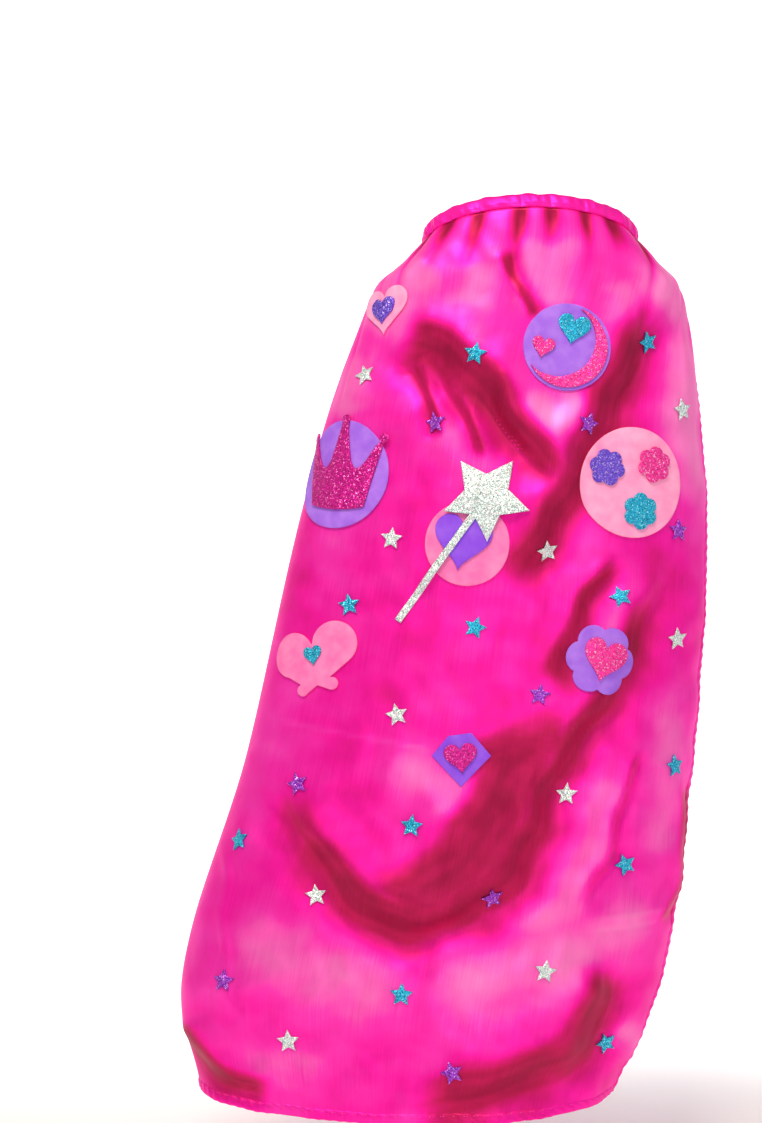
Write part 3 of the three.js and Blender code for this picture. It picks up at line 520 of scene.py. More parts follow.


# %% [markdown]
# ### Polyester satin
# In satin each warp thread floats over several weft threads, so light meets long parallel filaments: a
# strong soft sheen, stretched across the floats, and slight streaks where some threads lie higher. The
# dye is a hot pink. Painted shade turns it crimson in the folds, and painted highlights turn it pale pink
# on their crowns. Real floats are 0.2 mm wide, too fine to draw from here, so the streaks are drawn at 1 mm.
#
# Polyester is no metal. The metallic share stands for light that passes through dyed threads before it comes
# back, which tints the gloss of real satin pink, where a plain plastic's gloss would be white.

# %% Satin
STREAK = 1.0 * MM  # width of a streak
STREAK_LENGTH = 60 * MM
SLUB = 30 * MM  # soft unevenness of the cloth
PAINTED_LIGHT_ATTRIBUTE = "painted_light"  # the attribute of painted shade and painted highlight that the panel and hem carry
SATIN_FINISH = {
    "Metallic": 0.5,
    "Specular IOR Level": 0.2,
    "Anisotropic": 0.4,
    "Sheen Weight": 0.03,
    "Sheen Roughness": 0.5,
    "Sheen Tint": hex_colour("#ff5fb0"),
}


def satin(name, stops):
    """stops are colours: painted shade deep in a fold, 0, the plain dye, 0.5, a painted highlight on a crown,
    1.
    """
    material, shader = new_material(name, SATIN_FINISH)
    place = node(material, "ShaderNodeTexCoord").outputs["UV"]
    lengths = (1 / STREAK, 1 / STREAK_LENGTH, 1)
    stretched = node(material, "ShaderNodeMapping", {"Vector": place, "Scale": lengths}).outputs["Vector"]
    streaks = node(material, "ShaderNodeTexNoise", {"Vector": stretched, "Scale": 1.0, "Detail": 3.0})
    uneven = node(material, "ShaderNodeTexNoise", {"Vector": place, "Scale": 1 / SLUB, "Detail": 4.0})
    # painted shade and highlight, stored on each point of the cloth
    painted_light = node(material, "ShaderNodeAttribute", attribute_name=PAINTED_LIGHT_ATTRIBUTE).outputs["Fac"]
    spread = {"Value": painted_light, "From Min": -1.0, "To Min": -0.19, "To Max": 0.81}
    level = node(material, "ShaderNodeMapRange", spread)
    mixed = {0: streaks.outputs["Fac"], 1: 0.2, 2: level.outputs["Result"]}
    streaked = node(material, "ShaderNodeMath", mixed, operation="MULTIPLY_ADD").outputs[0]
    mixed = {0: uneven.outputs["Fac"], 1: 0.18, 2: streaked}
    blend = node(material, "ShaderNodeMath", mixed, operation="MULTIPLY_ADD").outputs[0]
    # the ramp paints the shade and the highlight into the base colour
    join(material, ramp(material, blend, stops), shader, "Base Color")
    spread = {"Value": streaks.outputs["Fac"], "To Min": 0.42, "To Max": 0.54}
    rough = node(material, "ShaderNodeMapRange", spread)
    join(material, rough.outputs["Result"], shader, "Roughness")
    relief = {"Height": streaks.outputs["Fac"], "Strength": 0.12, "Distance": 0.5 * MM}
    fine = node(material, "ShaderNodeBump", relief)
    relief = {"Height": uneven.outputs["Fac"], "Strength": 0.15, "Distance": 3 * MM}
    broad = node(material, "ShaderNodeBump", relief | {"Normal": fine.outputs["Normal"]})
    join(material, broad.outputs["Normal"], shader, "Normal")
    tangent = node(material, "ShaderNodeTangent", direction_type="UV_MAP")
    join(material, tangent.outputs[0], shader, "Tangent")
    return material


# the hot pink dye in the middle, with painted crimson shade towards 0 and a painted pale highlight at 1
DYE_AND_PAINTED_LIGHT = [(0.0, "#9c1042"), (1.0, "#ff84ca")]  # a ramp's first two stops are its ends
DYE_AND_PAINTED_LIGHT += [(0.16, "#bd1656"), (0.34, "#e01680"), (0.48, "#fb16a6"), (0.66, "#ff38b8")]
SATIN = satin("polyester_satin", DYE_AND_PAINTED_LIGHT)
print("made", SATIN.name)

# %% [markdown]
# ### Thread, elastic and tape
# Thread is two twisted plies. Elastic is braided, so fine courses cross its ribs. Tape is woven nylon with
# a plain weave at about a third of a millimetre. Each is a wave texture at its own pitch, read as relief
# and as a slight change of colour, darker where the relief is low: painted shade in the grooves.

# %% Haberdashery
def woven(name, pale, deep, pitch, angle, roughness, relief):
    """Threads a pitch apart in millimetres, laid at an angle and standing up by the relief."""
    material, shader = new_material(name)
    place = node(material, "ShaderNodeTexCoord").outputs["Object"]
    laid = node(material, "ShaderNodeMapping", {"Vector": place, "Rotation": (0, 0, np.radians(angle))})
    courses = {"Vector": laid.outputs["Vector"], "Scale": 1 / (6.28 * pitch * MM)}
    waves = node(material, "ShaderNodeTexWave", courses | {"Distortion": 0.6, "Detail": 1.0})
    fuzz = node(material, "ShaderNodeTexNoise", {"Vector": place, "Scale": 1 / (pitch * MM), "Detail": 3.0})
    mixed = {0: waves.outputs["Fac"], 1: 0.6, 2: fuzz.outputs["Fac"]}
    blend = node(material, "ShaderNodeMath", mixed, operation="MULTIPLY_ADD").outputs[0]
    # the low parts of the weave are painted darker, a painted shade in the grooves
    join(material, ramp(material, blend, [(0.35, deep), (0.95, pale)]), shader, "Base Color")
    bump = node(material, "ShaderNodeBump", {"Height": blend, "Strength": 0.5, "Distance": relief * MM})
    join(material, bump.outputs["Normal"], shader, "Normal")
    spread = {"Value": fuzz.outputs["Fac"], "To Min": roughness, "To Max": roughness + 0.2}
    rough = node(material, "ShaderNodeMapRange", spread)
    join(material, rough.outputs["Result"], shader, "Roughness")
    return material


THREADS = woven("polyester_thread", "#ff4fb8", "#d80f86", 0.4, 45, 0.45, 0.12)
ELASTIC = woven("braided_elastic", "#f7f5f0", "#d8d5cc", 0.8, 0, 0.7, 0.25)
TAPE = woven("woven_nylon_tape", "#f9f4f6", "#ddd3d9", 0.35, 0, 0.65, 0.15)
print("made", THREADS.name, ELASTIC.name, TAPE.name)

# %% [markdown]
# ### Craft foam, plain and glittered
# Craft foam is closed-cell EVA, skinned at the faces and matte, with fine pores at about 0.3 mm. The
# glittered kind carries chips of metallised film half a millimetre across, each lying at its own tilt
# in clear glue, so single chips flash. Chips are drawn at 0.9 mm so that they show.

# %% Foam
PORE, CLOUD, CHIP = 0.6 * MM, 14 * MM, 0.9 * MM
LEAN = 0.75  # how far a chip leans out of the surface


def plain_foam(name, body, pale):
    """Matte foam: fine pores in relief, and two close tones in soft clouds."""
    material, shader = new_material(name, {"Roughness": 0.62, "Specular IOR Level": 0.35})
    place = node(material, "ShaderNodeTexCoord").outputs["Object"]
    pores = node(material, "ShaderNodeTexNoise", {"Vector": place, "Scale": 1 / PORE, "Detail": 2.0})
    cloud = node(material, "ShaderNodeTexNoise", {"Vector": place, "Scale": 1 / CLOUD, "Detail": 2.0})
    join(material, ramp(material, cloud.outputs["Fac"], [(0.35, body), (0.7, pale)]), shader, "Base Color")
    relief = {"Height": pores.outputs["Fac"], "Strength": 0.25, "Distance": 0.3 * MM}
    bump = node(material, "ShaderNodeBump", relief)
    join(material, bump.outputs["Normal"], shader, "Normal")
    return material


def glitter_foam(name, stops):
    """stops are the ramp of chip colours. Each chip takes its colour, lean and gloss by chance."""
    material, shader = new_material(name)
    place = node(material, "ShaderNodeTexCoord").outputs["Object"]
    chips = node(material, "ShaderNodeTexVoronoi", {"Vector": place, "Scale": 1 / CHIP})
    pick = node(material, "ShaderNodeSeparateColor", {"Color": chips.outputs["Color"]})
    join(material, ramp(material, pick.outputs["Red"], stops, "CONSTANT"), shader, "Base Color")
    middle = {0: chips.outputs["Color"], 1: (0.5, 0.5, 0.5)}
    lean = node(material, "ShaderNodeVectorMath", middle, operation="SUBTRACT")
    straight = node(material, "ShaderNodeNewGeometry").outputs["Normal"]
    tilted = {0: lean.outputs[0], 1: (LEAN, LEAN, LEAN), 2: straight}
    leant = node(material, "ShaderNodeVectorMath", tilted, operation="MULTIPLY_ADD")
    facing = node(material, "ShaderNodeVectorMath", {0: leant.outputs[0]}, operation="NORMALIZE")
    join(material, facing.outputs[0], shader, "Normal")
    for chance, low, high, socket in (("Green", 0.22, 0.6, "Roughness"), ("Blue", 0.15, 0.75, "Metallic")):
        spread = {"Value": pick.outputs[chance], "To Min": low, "To Max": high}
        join(material, node(material, "ShaderNodeMapRange", spread).outputs["Result"], shader, socket)
    return material


PLAIN = {
    "pale_pink": ("#f78fc0", "#fda6cd"),
    "pink": ("#f26cb0", "#f987bd"),
    "purple": ("#9a5fe0", "#ab74e8"),
    "deep_purple": ("#8440e0", "#9355e6"),
}
GLITTER = {
    "silver": [(0.0, "#b0c2c0"), (0.25, "#d2e0de"), (0.55, "#ecf6f4"), (0.85, "#92b4b0"), (0.93, "#f4c0dc")]
    + [(0.97, "#a8f0e2")],
    "turquoise": [(0.0, "#0d86ae"), (0.3, "#18a9d2"), (0.7, "#35cdea"), (0.92, "#a4f4ff"), (0.97, "#0a6f9a")],
    "purple": [(0.0, "#5638b8"), (0.35, "#6f4fd2"), (0.75, "#8f6cea"), (0.94, "#d0b8ff")],
    "plum": [(0.0, "#7a1fa6"), (0.35, "#9a36c8"), (0.75, "#b95ade"), (0.94, "#efb4ff")],
    "pink": [(0.0, "#e41e8a"), (0.35, "#f6369e"), (0.75, "#ff5cb4"), (0.94, "#ffc4e2")],
    "magenta": [(0.0, "#b00678"), (0.35, "#cc0c8e"), (0.75, "#e21e9e"), (0.94, "#ff80d0")],
}
FOAMS = {f"{colour}_foam": plain_foam(f"{colour}_craft_foam", *tones) for colour, tones in PLAIN.items()}
for colour, stops in GLITTER.items():
    FOAMS[f"{colour}_glitter"] = glitter_foam(f"{colour}_glitter_foam", stops)
print("made", len(FOAMS), "foams")

# %% [markdown]
# ## The satin panel
# The panel is one sheet of cloth, cut 640 by 930 mm, of which the hem takes up 20, and gathered at the
# top. It is a two-sided surface half a millimetre thick, with the same points that the net measures, so
# that foam laid on the net lies on the cloth.

# %% Panel
FLAT_WIDTH, FLAT_LENGTH = 640.0, 930.0
SATIN_THICK = 0.5
PANEL_ROWS, PANEL_COLUMNS = 236, 186
INSIDE_PAINTED_LIGHT = 0.3  # share of the painted shade and highlight kept on the inside, where a fold seen from inside is a crown


def shaded(piece, uv, share=1.0):
    """Gives each point of a satin piece its share of the painted shade and highlight."""
    values = piece.data.attributes.new(PAINTED_LIGHT_ATTRIBUTE, "FLOAT", "POINT").data
    values.foreach_set("value", (sample(NET_PAINTED_LIGHT[..., None], uv)[:, 0] * share).astype(np.float32))


def panel():
    """The net at the panel's own lines, once outside and once inside, joined round the four edges."""
    u, v = np.meshgrid(np.linspace(0, 1, PANEL_COLUMNS), np.linspace(0, 1, PANEL_ROWS))
    uv = np.stack([u.ravel(), v.ravel()], -1)
    points = np.vstack([lifted(uv, 0), lifted(uv, -SATIN_THICK)])
    outside = grid_faces(PANEL_ROWS, PANEL_COLUMNS)
    count = len(uv)
    index = np.arange(count).reshape(PANEL_ROWS, PANEL_COLUMNS)
    rim = np.concatenate([index[:-1, 0], index[-1, :-1], index[:0:-1, -1], index[0, :0:-1]])
    ahead = np.roll(rim, -1)
    walls = np.stack([rim, rim + count, ahead + count, ahead], -1)
    flat = np.tile(uv * [FLAT_WIDTH, -FLAT_LENGTH], (2, 1))
    faces = [outside, outside[:, ::-1] + count, walls]
    made = new_piece("satin_panel", points, faces, SATIN, "satin", ["cape_panel"], uv=flat)
    # painted shade and highlight, weaker on the inside
    shaded(made, np.tile(uv, (2, 1)), np.repeat([1, INSIDE_PAINTED_LIGHT], count))
    return made


satin_panel = panel()
print("panel:", len(satin_panel.data.polygons), "faces")

# %% [markdown]
# ## Thread
# Stitches are small capsules of polyester thread, each half sunk where its ends go into the cloth. One
# capsule is worked out once and carried to every place at once.

# %% Stitches
STITCH, STITCH_PITCH, THREAD = 2.5, 3.3, 0.26


def capsules(middles, along, out, half=STITCH / 2, radius=THREAD):
    """Points and faces of a capsule at each middle: rings of six points round its length, thick in the
    middle and closed to a tip at both ends."""
    sweep = np.linspace(-1, 1, 6)
    girth = np.sqrt(np.clip(1 - sweep**2, 0.02, 1)) ** 0.6
    turn = angles(6)
    side = np.cross(along, out)
    ring = girth[:, None] * radius
    x = np.broadcast_to(sweep[:, None] * half, (6, 6)).ravel()
    y = (ring * np.cos(turn)).ravel()
    z = (ring * np.sin(turn)).ravel() - 0.3 * radius * np.abs(x / half) ** 3
    shape = middles[:, None] + x[:, None] * along[:, None] + y[:, None] * side[:, None]
    shape = shape + z[:, None] * out[:, None]
    tips = [[2, 3, 4, 5], [0, 1, 2, 5], [33, 32, 31, 30], [35, 34, 33, 30]]
    one = np.vstack([grid_faces(6, 6, round_columns=True), tips])
    faces = (one[None] + 36 * np.arange(len(middles))[:, None, None]).reshape(-1, 4)
    return shape.reshape(-1, 3), faces


def spaced(line, pitch):
    """Midpoints and directions of stitches a pitch apart along a line of points."""
    along = travelled(line)
    at = np.arange(pitch, along[-1] - pitch / 2, pitch)

    def place(s):
        return np.stack([np.interp(s, along, line[:, k]) for k in range(3)], -1)

    return place(at), unit(place(at + 0.8) - place(at - 0.8))


# %% [markdown]
# ## The hem
# The side and bottom edges are turned twice and stitched. Stitching a bias-cut fold drags one layer past
# the other, so the hem ropes: short ridges run across it at a slant. The hem is a flat rounded profile
# carried down the left edge, along the bottom and up the right edge, mitred at the corners by the way
# each inset line shortens.

# %% Hem
ROPING, ROPE_HEIGHT, ROPE_SLANT = 11.0, 0.9, 0.9  # pitch and height of the ridges, and their slant
STITCHED_IN = 8.0  # how far in from the edge the stitching runs
HEM_STATIONS = (430, 320, 430)
HEM_PROFILE = np.array(
    # (in from the edge, level over the cloth)
    [(10, 0.04), (8.6, 0.12), (7.4, 0.34), (5, 0.5), (2.6, 0.46), (0.9, 0.34), (-0.1, 0.0), (-0.5, -0.6)]
    + [(-0.3, -1.3), (0.8, -1.8), (3, -2.0), (6, -2.0), (8.6, -1.8), (9.9, -1.3), (10.2, -0.8), (10.2, -0.3)]
)


def hem_path():
    """Round the three edges: (u, v) of the edge, and how the inward way splits between u and v."""
    left, bottom, right = (np.linspace(0, 1, count) for count in HEM_STATIONS)
    edge = [np.stack([0 * left, left], -1), np.stack([bottom, 0 * bottom + 1], -1)[1:-1]]
    edge.append(np.stack([0 * right + 1, 1 - right], -1))
    inward = [np.stack([0 * left + 1, -left], -1), np.stack([1 - 2 * bottom, 0 * bottom - 1], -1)[1:-1]]
    inward.append(np.stack([0 * right - 1, right - 1], -1))
    return np.vstack(edge), np.vstack(inward)


hem_edge, hem_inward = hem_path()
hem_scale = np.stack([np.linalg.norm(sample(net, hem_edge), axis=1) for net in (NET_ACROSS, NET_DOWN)], -1)
hem_line = sample(NET, hem_edge)
hem_run = travelled(hem_line)


def hem_points(inset_by, level):
    """Points of the hem at a distance in from the edge and a level, one for each station."""
    uv = hem_edge + hem_inward * np.maximum(inset_by, 0)[:, None] / hem_scale
    inward = sample(NET, hem_edge + hem_inward * 4 / hem_scale) - hem_line
    past = np.minimum(inset_by, 0)[:, None] * inward / 4
    return lifted(uv, level) + past, uv


def hem():
    """The profile at every station, with roping: a raised sine that slants across it and dies out at
    its two folds."""
    wander = 0.5 * np.sin(hem_run / 21) + 0.4 * np.sin(hem_run / 9 + 1)
    lines = []
    for across, level in HEM_PROFILE:
        phase = 2 * np.pi * (hem_run + ROPE_SLANT * across) / ROPING + 1.3 * np.sin(hem_run / 60)
        full = smooth(across / 2 + 0.6) * smooth((10.4 - across) / 2.5)
        lift = ROPE_HEIGHT * (0.5 + 0.5 * np.sin(phase)) ** 1.5 * full * (1 if level > -0.2 else -0.7)
        pulled = across + (wander + 0.25 * np.sin(phase)) * (1 - full * 0.3)
        lines.append(hem_points(pulled, level + lift))
    points, uv = (np.stack(line, 1) for line in zip(*lines))
    flat = uv * [FLAT_WIDTH, -FLAT_LENGTH]
    faces = tube_faces(*points.shape[:2], clockwise=True)
    made = new_piece("rolled_hem", points, faces, SATIN, "satin", ["edge_hem"], uv=flat)
    # painted shade and highlight, from the net under the hem
    shaded(made, uv.reshape(-1, 2))
    return made


def hem_stitches():
    """A row of stitches on the outside and one on the inside, at the hem's inner fold."""
    parts = []
    for level, sign in ((0.34, 1), (-1.95, -1)):
        line, uv = hem_points(np.full(len(hem_run), STITCHED_IN), np.full(len(hem_run), level))
        middle, way = spaced(line, STITCH_PITCH)
        nearest = np.searchsorted(hem_run, np.linspace(0, hem_run[-1], len(middle))).clip(0, len(uv) - 1)
        out = sign * sample(NET_OUT, uv[nearest])
        parts.append(capsules(middle, way, unit(out - way * (way * out).sum(1, keepdims=True))))
    return new_piece("hem_stitches", *gathered(parts), THREADS, "satin")


rolled_hem = hem()
stitches = hem_stitches()
print("hem:", len(rolled_hem.data.polygons), "faces, stitches:", len(stitches.data.polygons), "faces")

# %% [markdown]
# ## Neck casing and elastic
# The top of the panel is a tube of satin with elastic drawn through it. Slack, the elastic pulls the tube
# into ruches: its face puffs out between the pulls, in step with the gathers below it, and its two edges
# wander. Both are one profile carried round the tilted loop of the neck.

# %% Neck band
BAND_RIGHT = np.array([1.0, 0, 0])
BAND_FORWARD = np.array([0, np.cos(NECK_TILT), -np.sin(NECK_TILT)])
BAND_UP = np.array([0, np.sin(NECK_TILT), np.cos(NECK_TILT)])
ELASTIC_HEIGHT, ELASTIC_THICK, PLAY, WALL = 10.4, 1.0, 0.35, 1.1
CASING_HALF = ELASTIC_THICK / 2 + PLAY + WALL
CASING_STEPS, CASING_RING = 900, 32
SEAM_LAP = 1.2  # the casing's lower fold laps the top of the panel
ELASTIC_RIBS, ELASTIC_STEPS, ELASTIC_RING = 6, 260, 64


def in_band(x, forward, up):
    """Points from across, forward and up in the neck loop's plane."""
    x, forward, up = np.broadcast_arrays(x, forward, up)
    return x[..., None] * BAND_RIGHT + forward[..., None] * BAND_FORWARD + up[..., None] * BAND_UP


def loop_at(turn):
    """Across and forward of the neck loop's ellipse at an angle from its back, and its normal there."""
    at = np.stack([NECK_WIDE * np.sin(turn), -NECK_DEEP * np.cos(turn)], -1)
    return at, unit(np.stack([NECK_DEEP * np.sin(turn), -NECK_WIDE * np.cos(turn)], -1))


def on_band(share, outward, up):
    """A point of the band at a share of the way round, moved along the ellipse's normal and up out of
    its plane."""
    at, out = loop_at(np.radians(NECK_SPAN * (2 * share - 1)))
    return in_band(at[..., 0] + outward * out[..., 0], at[..., 1] + outward * out[..., 1], up)


def neck_casing():
    """A tube: an outer and an inner loop of rounded profile, joined by a ring at both open ends."""
    share = np.linspace(0, 1, CASING_STEPS)[:, None]
    turn = angles(CASING_RING)[None, :]
    uneven, puff = puffs(share)
    fine = np.sin(2 * np.pi * 3.2 * GATHERS * uneven + 2 * np.sin(turn)) * 0.32
    ends = smooth(share / 0.02) * smooth((1 - share) / 0.02)
    out_shape, up_shape = bowed(np.cos(turn), 0.55), bowed(np.sin(turn), 0.7)
    seam = 0.55 * np.exp(-(((up_shape + 0.72) / 0.09) ** 2)) + 0.3 * np.exp(-(((up_shape - 0.78) / 0.08) ** 2))
    swollen = (2.2 * puff - 0.5 + fine) * ends * np.abs(out_shape) ** 0.5 * (1 - 0.25 * up_shape)
    outward = out_shape * (CASING_HALF + swollen * (out_shape > 0) + 0.5 * swollen * (out_shape < 0) - seam)
    edge = 0.5 * np.sin(2 * np.pi * GATHERS * uneven + 0.8) + 0.35 * np.sin(2 * np.pi * 1.7 * GATHERS * share)
    up = up_shape * (CASING_HEIGHT / 2 - 0.1 + edge * ends * (up_shape > 0) * 1.3 + SEAM_LAP * (up_shape < 0))
    outer = on_band(share, outward, up)
    hollow = [half + PLAY * 0.9 for half in (ELASTIC_THICK / 2, ELASTIC_HEIGHT / 2)]
    inner = on_band(share, np.cos(turn) * hollow[0], np.sin(turn) * hollow[1])
    outside = grid_faces(CASING_STEPS, CASING_RING, round_columns=True)
    count = CASING_STEPS * CASING_RING
    ring = np.arange(CASING_RING)
    ahead = np.roll(ring, -1)
    start = np.stack([ring, ring + count, ahead + count, ahead], -1)
    finish = start + count - CASING_RING
    faces = [outside, outside[:, ::-1] + count, start[:, ::-1], finish]
    flat = np.stack(np.broadcast_arrays(share * FLAT_WIDTH, up), -1)
    points = np.stack([outer, inner])
    return new_piece("ruched_casing", points, faces, SATIN, "satin", ["neck_casing"], uv=np.stack([flat, flat]))


def neck_elastic():
    """Braided elastic: a flat strip whose two faces carry lengthwise ribs."""
    share = np.linspace(0, 1, ELASTIC_STEPS)[:, None]
    turn = angles(ELASTIC_RING)[None, :]
    up = bowed(np.sin(turn), 0.8) * ELASTIC_HEIGHT / 2
    ribs = 0.9 + 0.1 * np.cos(2 * np.pi * ELASTIC_RIBS * up / ELASTIC_HEIGHT)
    points = on_band(share, bowed(np.cos(turn), 0.35) * ELASTIC_THICK / 2 * ribs, up)
    faces = tube_faces(ELASTIC_STEPS, ELASTIC_RING)
    flat = np.stack(np.broadcast_arrays(share * FLAT_WIDTH, up), -1)
    return new_piece("braided_elastic", points, faces, ELASTIC, "elastic", ["neck_elastic"], uv=flat, crease=60)


casing = neck_casing()
elastic = neck_elastic()
print("casing:", len(casing.data.polygons), "faces, elastic:", len(elastic.data.polygons), "faces")

# %% [markdown]
# ## The closure
# Two satin tabs carry hook tape and loop tape. A tab or tape is a flat rounded profile carried along its
# middle line, closed by an ease at each end. The hooks and loops stand on the faces that meet.

# %% Closure sizes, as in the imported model
TAB_HEIGHT, TAB_THICK, TAB_OVERLAP = 16.0, 1.8, 44.0
TAPE_HEIGHT, TAPE_THICK, TAPE_LENGTH, TAPE_SHIFT = 12.0, 1.4, 34.0, 2.0
ROOT, SEAM_GAP = 0.9, 0.4
BACKING = 0.6  # woven backing of a tape; the rest of its thickness is hooks or loops
front = np.radians(180 - NECK_SPAN)
GAP_HALF = NECK_WIDE * np.sin(front)
LOOP_TAB_AT = NECK_DEEP * np.cos(front) + 1
LOOP_TAPE_AT = LOOP_TAB_AT + TAB_THICK + SEAM_GAP
HOOK_TAPE_AT = LOOP_TAPE_AT + TAPE_THICK + SEAM_GAP
HOOK_TAB_AT = HOOK_TAPE_AT + TAPE_THICK + SEAM_GAP
LOOP_END = GAP_HALF - 0.6
LOOP_MIDDLE = LOOP_END - TAB_OVERLAP / 2 - TAPE_SHIFT
HOOK_MIDDLE = LOOP_MIDDLE + 2 * TAPE_SHIFT


def flat_strip(name, line, height, thickness, material, slot, nodes, body, blunt=0.16, pucker=0.0):
    """A flat rounded profile along a line of (across, forward). The profile is a superellipse, thin
    across the strip's face. Its corners ease in over a blunt share of the height at each end."""
    steps, ring = 96, 36
    line = np.asarray(line, float)
    run = travelled(line)
    ease = np.linspace(-1, 1, steps)
    at = (np.sign(ease) * (1 - (1 - np.abs(ease)) ** 1.6) + 1) / 2 * run[-1]
    middle = np.stack([np.interp(at, run, line[:, k]) for k in (0, 1)], -1)
    way = unit(np.gradient(middle, axis=0))
    side = np.stack([-way[:, 1], way[:, 0]], -1)
    end = np.minimum(at, run[-1] - at)[:, None]
    corner = 1 - (1 - np.clip(end / (height * blunt), 0, 1)) ** 2.4
    thin = 1 - (1 - np.clip(end / (thickness * 0.7), 0, 1)) ** 2
    turn = angles(ring)[None]
    up = bowed(np.sin(turn), 0.5) * height / 2 * (0.86 + 0.14 * corner)
    away = bowed(np.cos(turn), 0.4) * thickness / 2 * (0.15 + 0.85 * thin)
    pulls = 0.5 + 0.5 * np.sin(at[:, None] * 2 * np.pi / STITCH_PITCH)
    away = away * (1 - pucker * pulls * np.abs(np.sin(turn)) ** 4)
    points = in_band(middle[:, :1] + side[:, :1] * away, middle[:, 1:] + side[:, 1:] * away, up)
    flat = np.stack(np.broadcast_arrays(at[:, None], up), -1)
    faces = tube_faces(steps, ring, clockwise=True)
    return new_piece(name, points, faces, material, slot, nodes, body, uv=flat, crease=60)


def box_stitches(name, middle_x, levels, body):
    """A stitched box round a tape, on each of the levels given as (forward, which way is out)."""
    half, up = TAPE_LENGTH / 2 - 1.4, TAPE_HEIGHT / 2 - 1.3
    box = [(-half, -up), (half, -up), (half, up), (-half, up), (-half, -up)]
    parts = []
    for forward, sign in levels:
        for (ax, au), (bx, bu) in zip(box, box[1:]):
            middle, way = spaced(in_band(np.array([ax, bx]) + middle_x, forward, np.array([au, bu])), 2.6)
            out = np.tile(sign * BAND_FORWARD, (len(middle), 1))
            parts.append(capsules(middle, way, out, 0.95, 0.22))
    return new_piece(name, *gathered(parts), THREADS, "satin", body=body)


def pile(name, middle_x, base, out_sign, reach, pitch, closed, body):
    """The hooks or loops of a tape: a flattened filament bent to a crook for a hook, or to an arch for
    a loop, one at each place of a grid over the tape's face, a little off it by chance."""
    columns = np.arange(-TAPE_LENGTH / 2 + 2.6, TAPE_LENGTH / 2 - 2.5, pitch)
    rows = np.arange(-TAPE_HEIGHT / 2 + 2.4, TAPE_HEIGHT / 2 - 2.3, pitch)
    x, up = (grid.ravel() for grid in np.meshgrid(columns, rows))
    jitter = np.random.default_rng(7).uniform(-1, 1, (3, len(x)))
    x, up = x + 0.2 * pitch * jitter[0], up + 0.2 * pitch * jitter[1]
    heading = np.pi * jitter[2] if closed else 0 * x
    bend = np.linspace(0, np.pi if closed else 1.35 * np.pi, 7)
    span = reach * (0.55 if closed else 0.4)
    along = span * (1 - np.cos(bend)) - (span if closed else 0)
    crook = np.minimum(bend / 1.6, 1) + 0.18 * np.sin(bend * 1.2) - 0.15
    rise = reach * 0.9 * (np.sin(bend) if closed else crook)
    radius = reach * (0.1 if closed else 0.16)
    turn = angles(5)
    ring_along, ring_side = radius * np.cos(turn), radius * np.sin(turn)
    a = along[:, None] + ring_along[None] * np.sin(bend)[:, None]
    b = np.broadcast_to(ring_side[None], a.shape)
    c = rise[:, None] + ring_along[None] * np.cos(bend)[:, None] * 0.5
    c = np.clip(c, 0, reach)
    a, b, c = a.ravel(), b.ravel(), c.ravel()
    turned_x = np.cos(heading)[:, None] * a - np.sin(heading)[:, None] * b
    turned_up = np.sin(heading)[:, None] * a + np.cos(heading)[:, None] * b
    points = in_band(x[:, None] + middle_x + turned_x, base + out_sign * c, up[:, None] + turned_up)
    wall, tips = grid_faces(7, 5, round_columns=True), np.array([[0, 1, 2, 3, 4], [34, 33, 32, 31, 30]])
    starts = 35 * np.arange(len(x))[:, None, None]
    faces = [(one[:, ::out_sign] + starts).reshape(-1, one.shape[1]) for one in (wall, tips)]
    return new_piece(name, points, faces, TAPE, "tape", body=body)


def straight(x0, x1, inner, thickness):
    """The middle line of a straight strip from x0 to x1."""
    return [(x0, inner + thickness / 2), (x1, inner + thickness / 2)]


def hook_tab_line():
    """From the rounded root at the casing's corner, up over the other layers and straight on."""
    at, out = loop_at(np.radians(-NECK_SPAN))
    bearing = np.radians(42)
    root = at + CASING_HALF * out + (ROOT + SEAM_GAP) * np.array([np.cos(bearing), np.sin(bearing)])
    middle = HOOK_TAB_AT + TAB_THICK / 2
    start = root - 0.6 * np.array([0.55, 0.83])
    over = root + [5.7, 0]
    rise = (root + over) / 2 + [0, (middle - root[1]) * 0.45]
    bend = along_curve([start, rise, (over[0] + 1.5, middle), (over[0] + 6, middle)], 30)
    return np.vstack([bend, [(HOOK_MIDDLE + TAPE_LENGTH / 2 + 4, middle)]])


# %% Closure pieces
hook_back = HOOK_TAPE_AT + TAPE_THICK - BACKING
loop_tab_line = straight(LOOP_END - TAB_OVERLAP, LOOP_END, LOOP_TAB_AT, TAB_THICK)
for name, line, node_name, body in (
    ("loop_side_tab", loop_tab_line, "loop_tab", "cape"),
    ("hook_side_tab", hook_tab_line(), "hook_tab", "closure_tab"),
):
    flat_strip(name, line, TAB_HEIGHT, TAB_THICK, SATIN, "satin", [node_name], body, pucker=0.25)
for name, middle, inner, node_name, body in (
    ("loop_tape_backing", LOOP_MIDDLE, LOOP_TAPE_AT, "loop_tape", "cape"),
    ("hook_tape_backing", HOOK_MIDDLE, hook_back, "hook_tape", "closure_tab"),
):
    line = straight(middle - TAPE_LENGTH / 2, middle + TAPE_LENGTH / 2, inner, BACKING)
    flat_strip(name, line, TAPE_HEIGHT, BACKING, TAPE, "tape", [node_name], body, 0.05)
PILE = TAPE_THICK - BACKING - 0.05
pile("tape_loops", LOOP_MIDDLE, LOOP_TAPE_AT + BACKING - 0.02, 1, PILE, 1.35, True, "cape")
pile("tape_hooks", HOOK_MIDDLE, hook_back + 0.02, -1, PILE, 1.5, False, "closure_tab")
loop_faces = [(LOOP_TAPE_AT + BACKING, 1), (LOOP_TAB_AT, -1)]
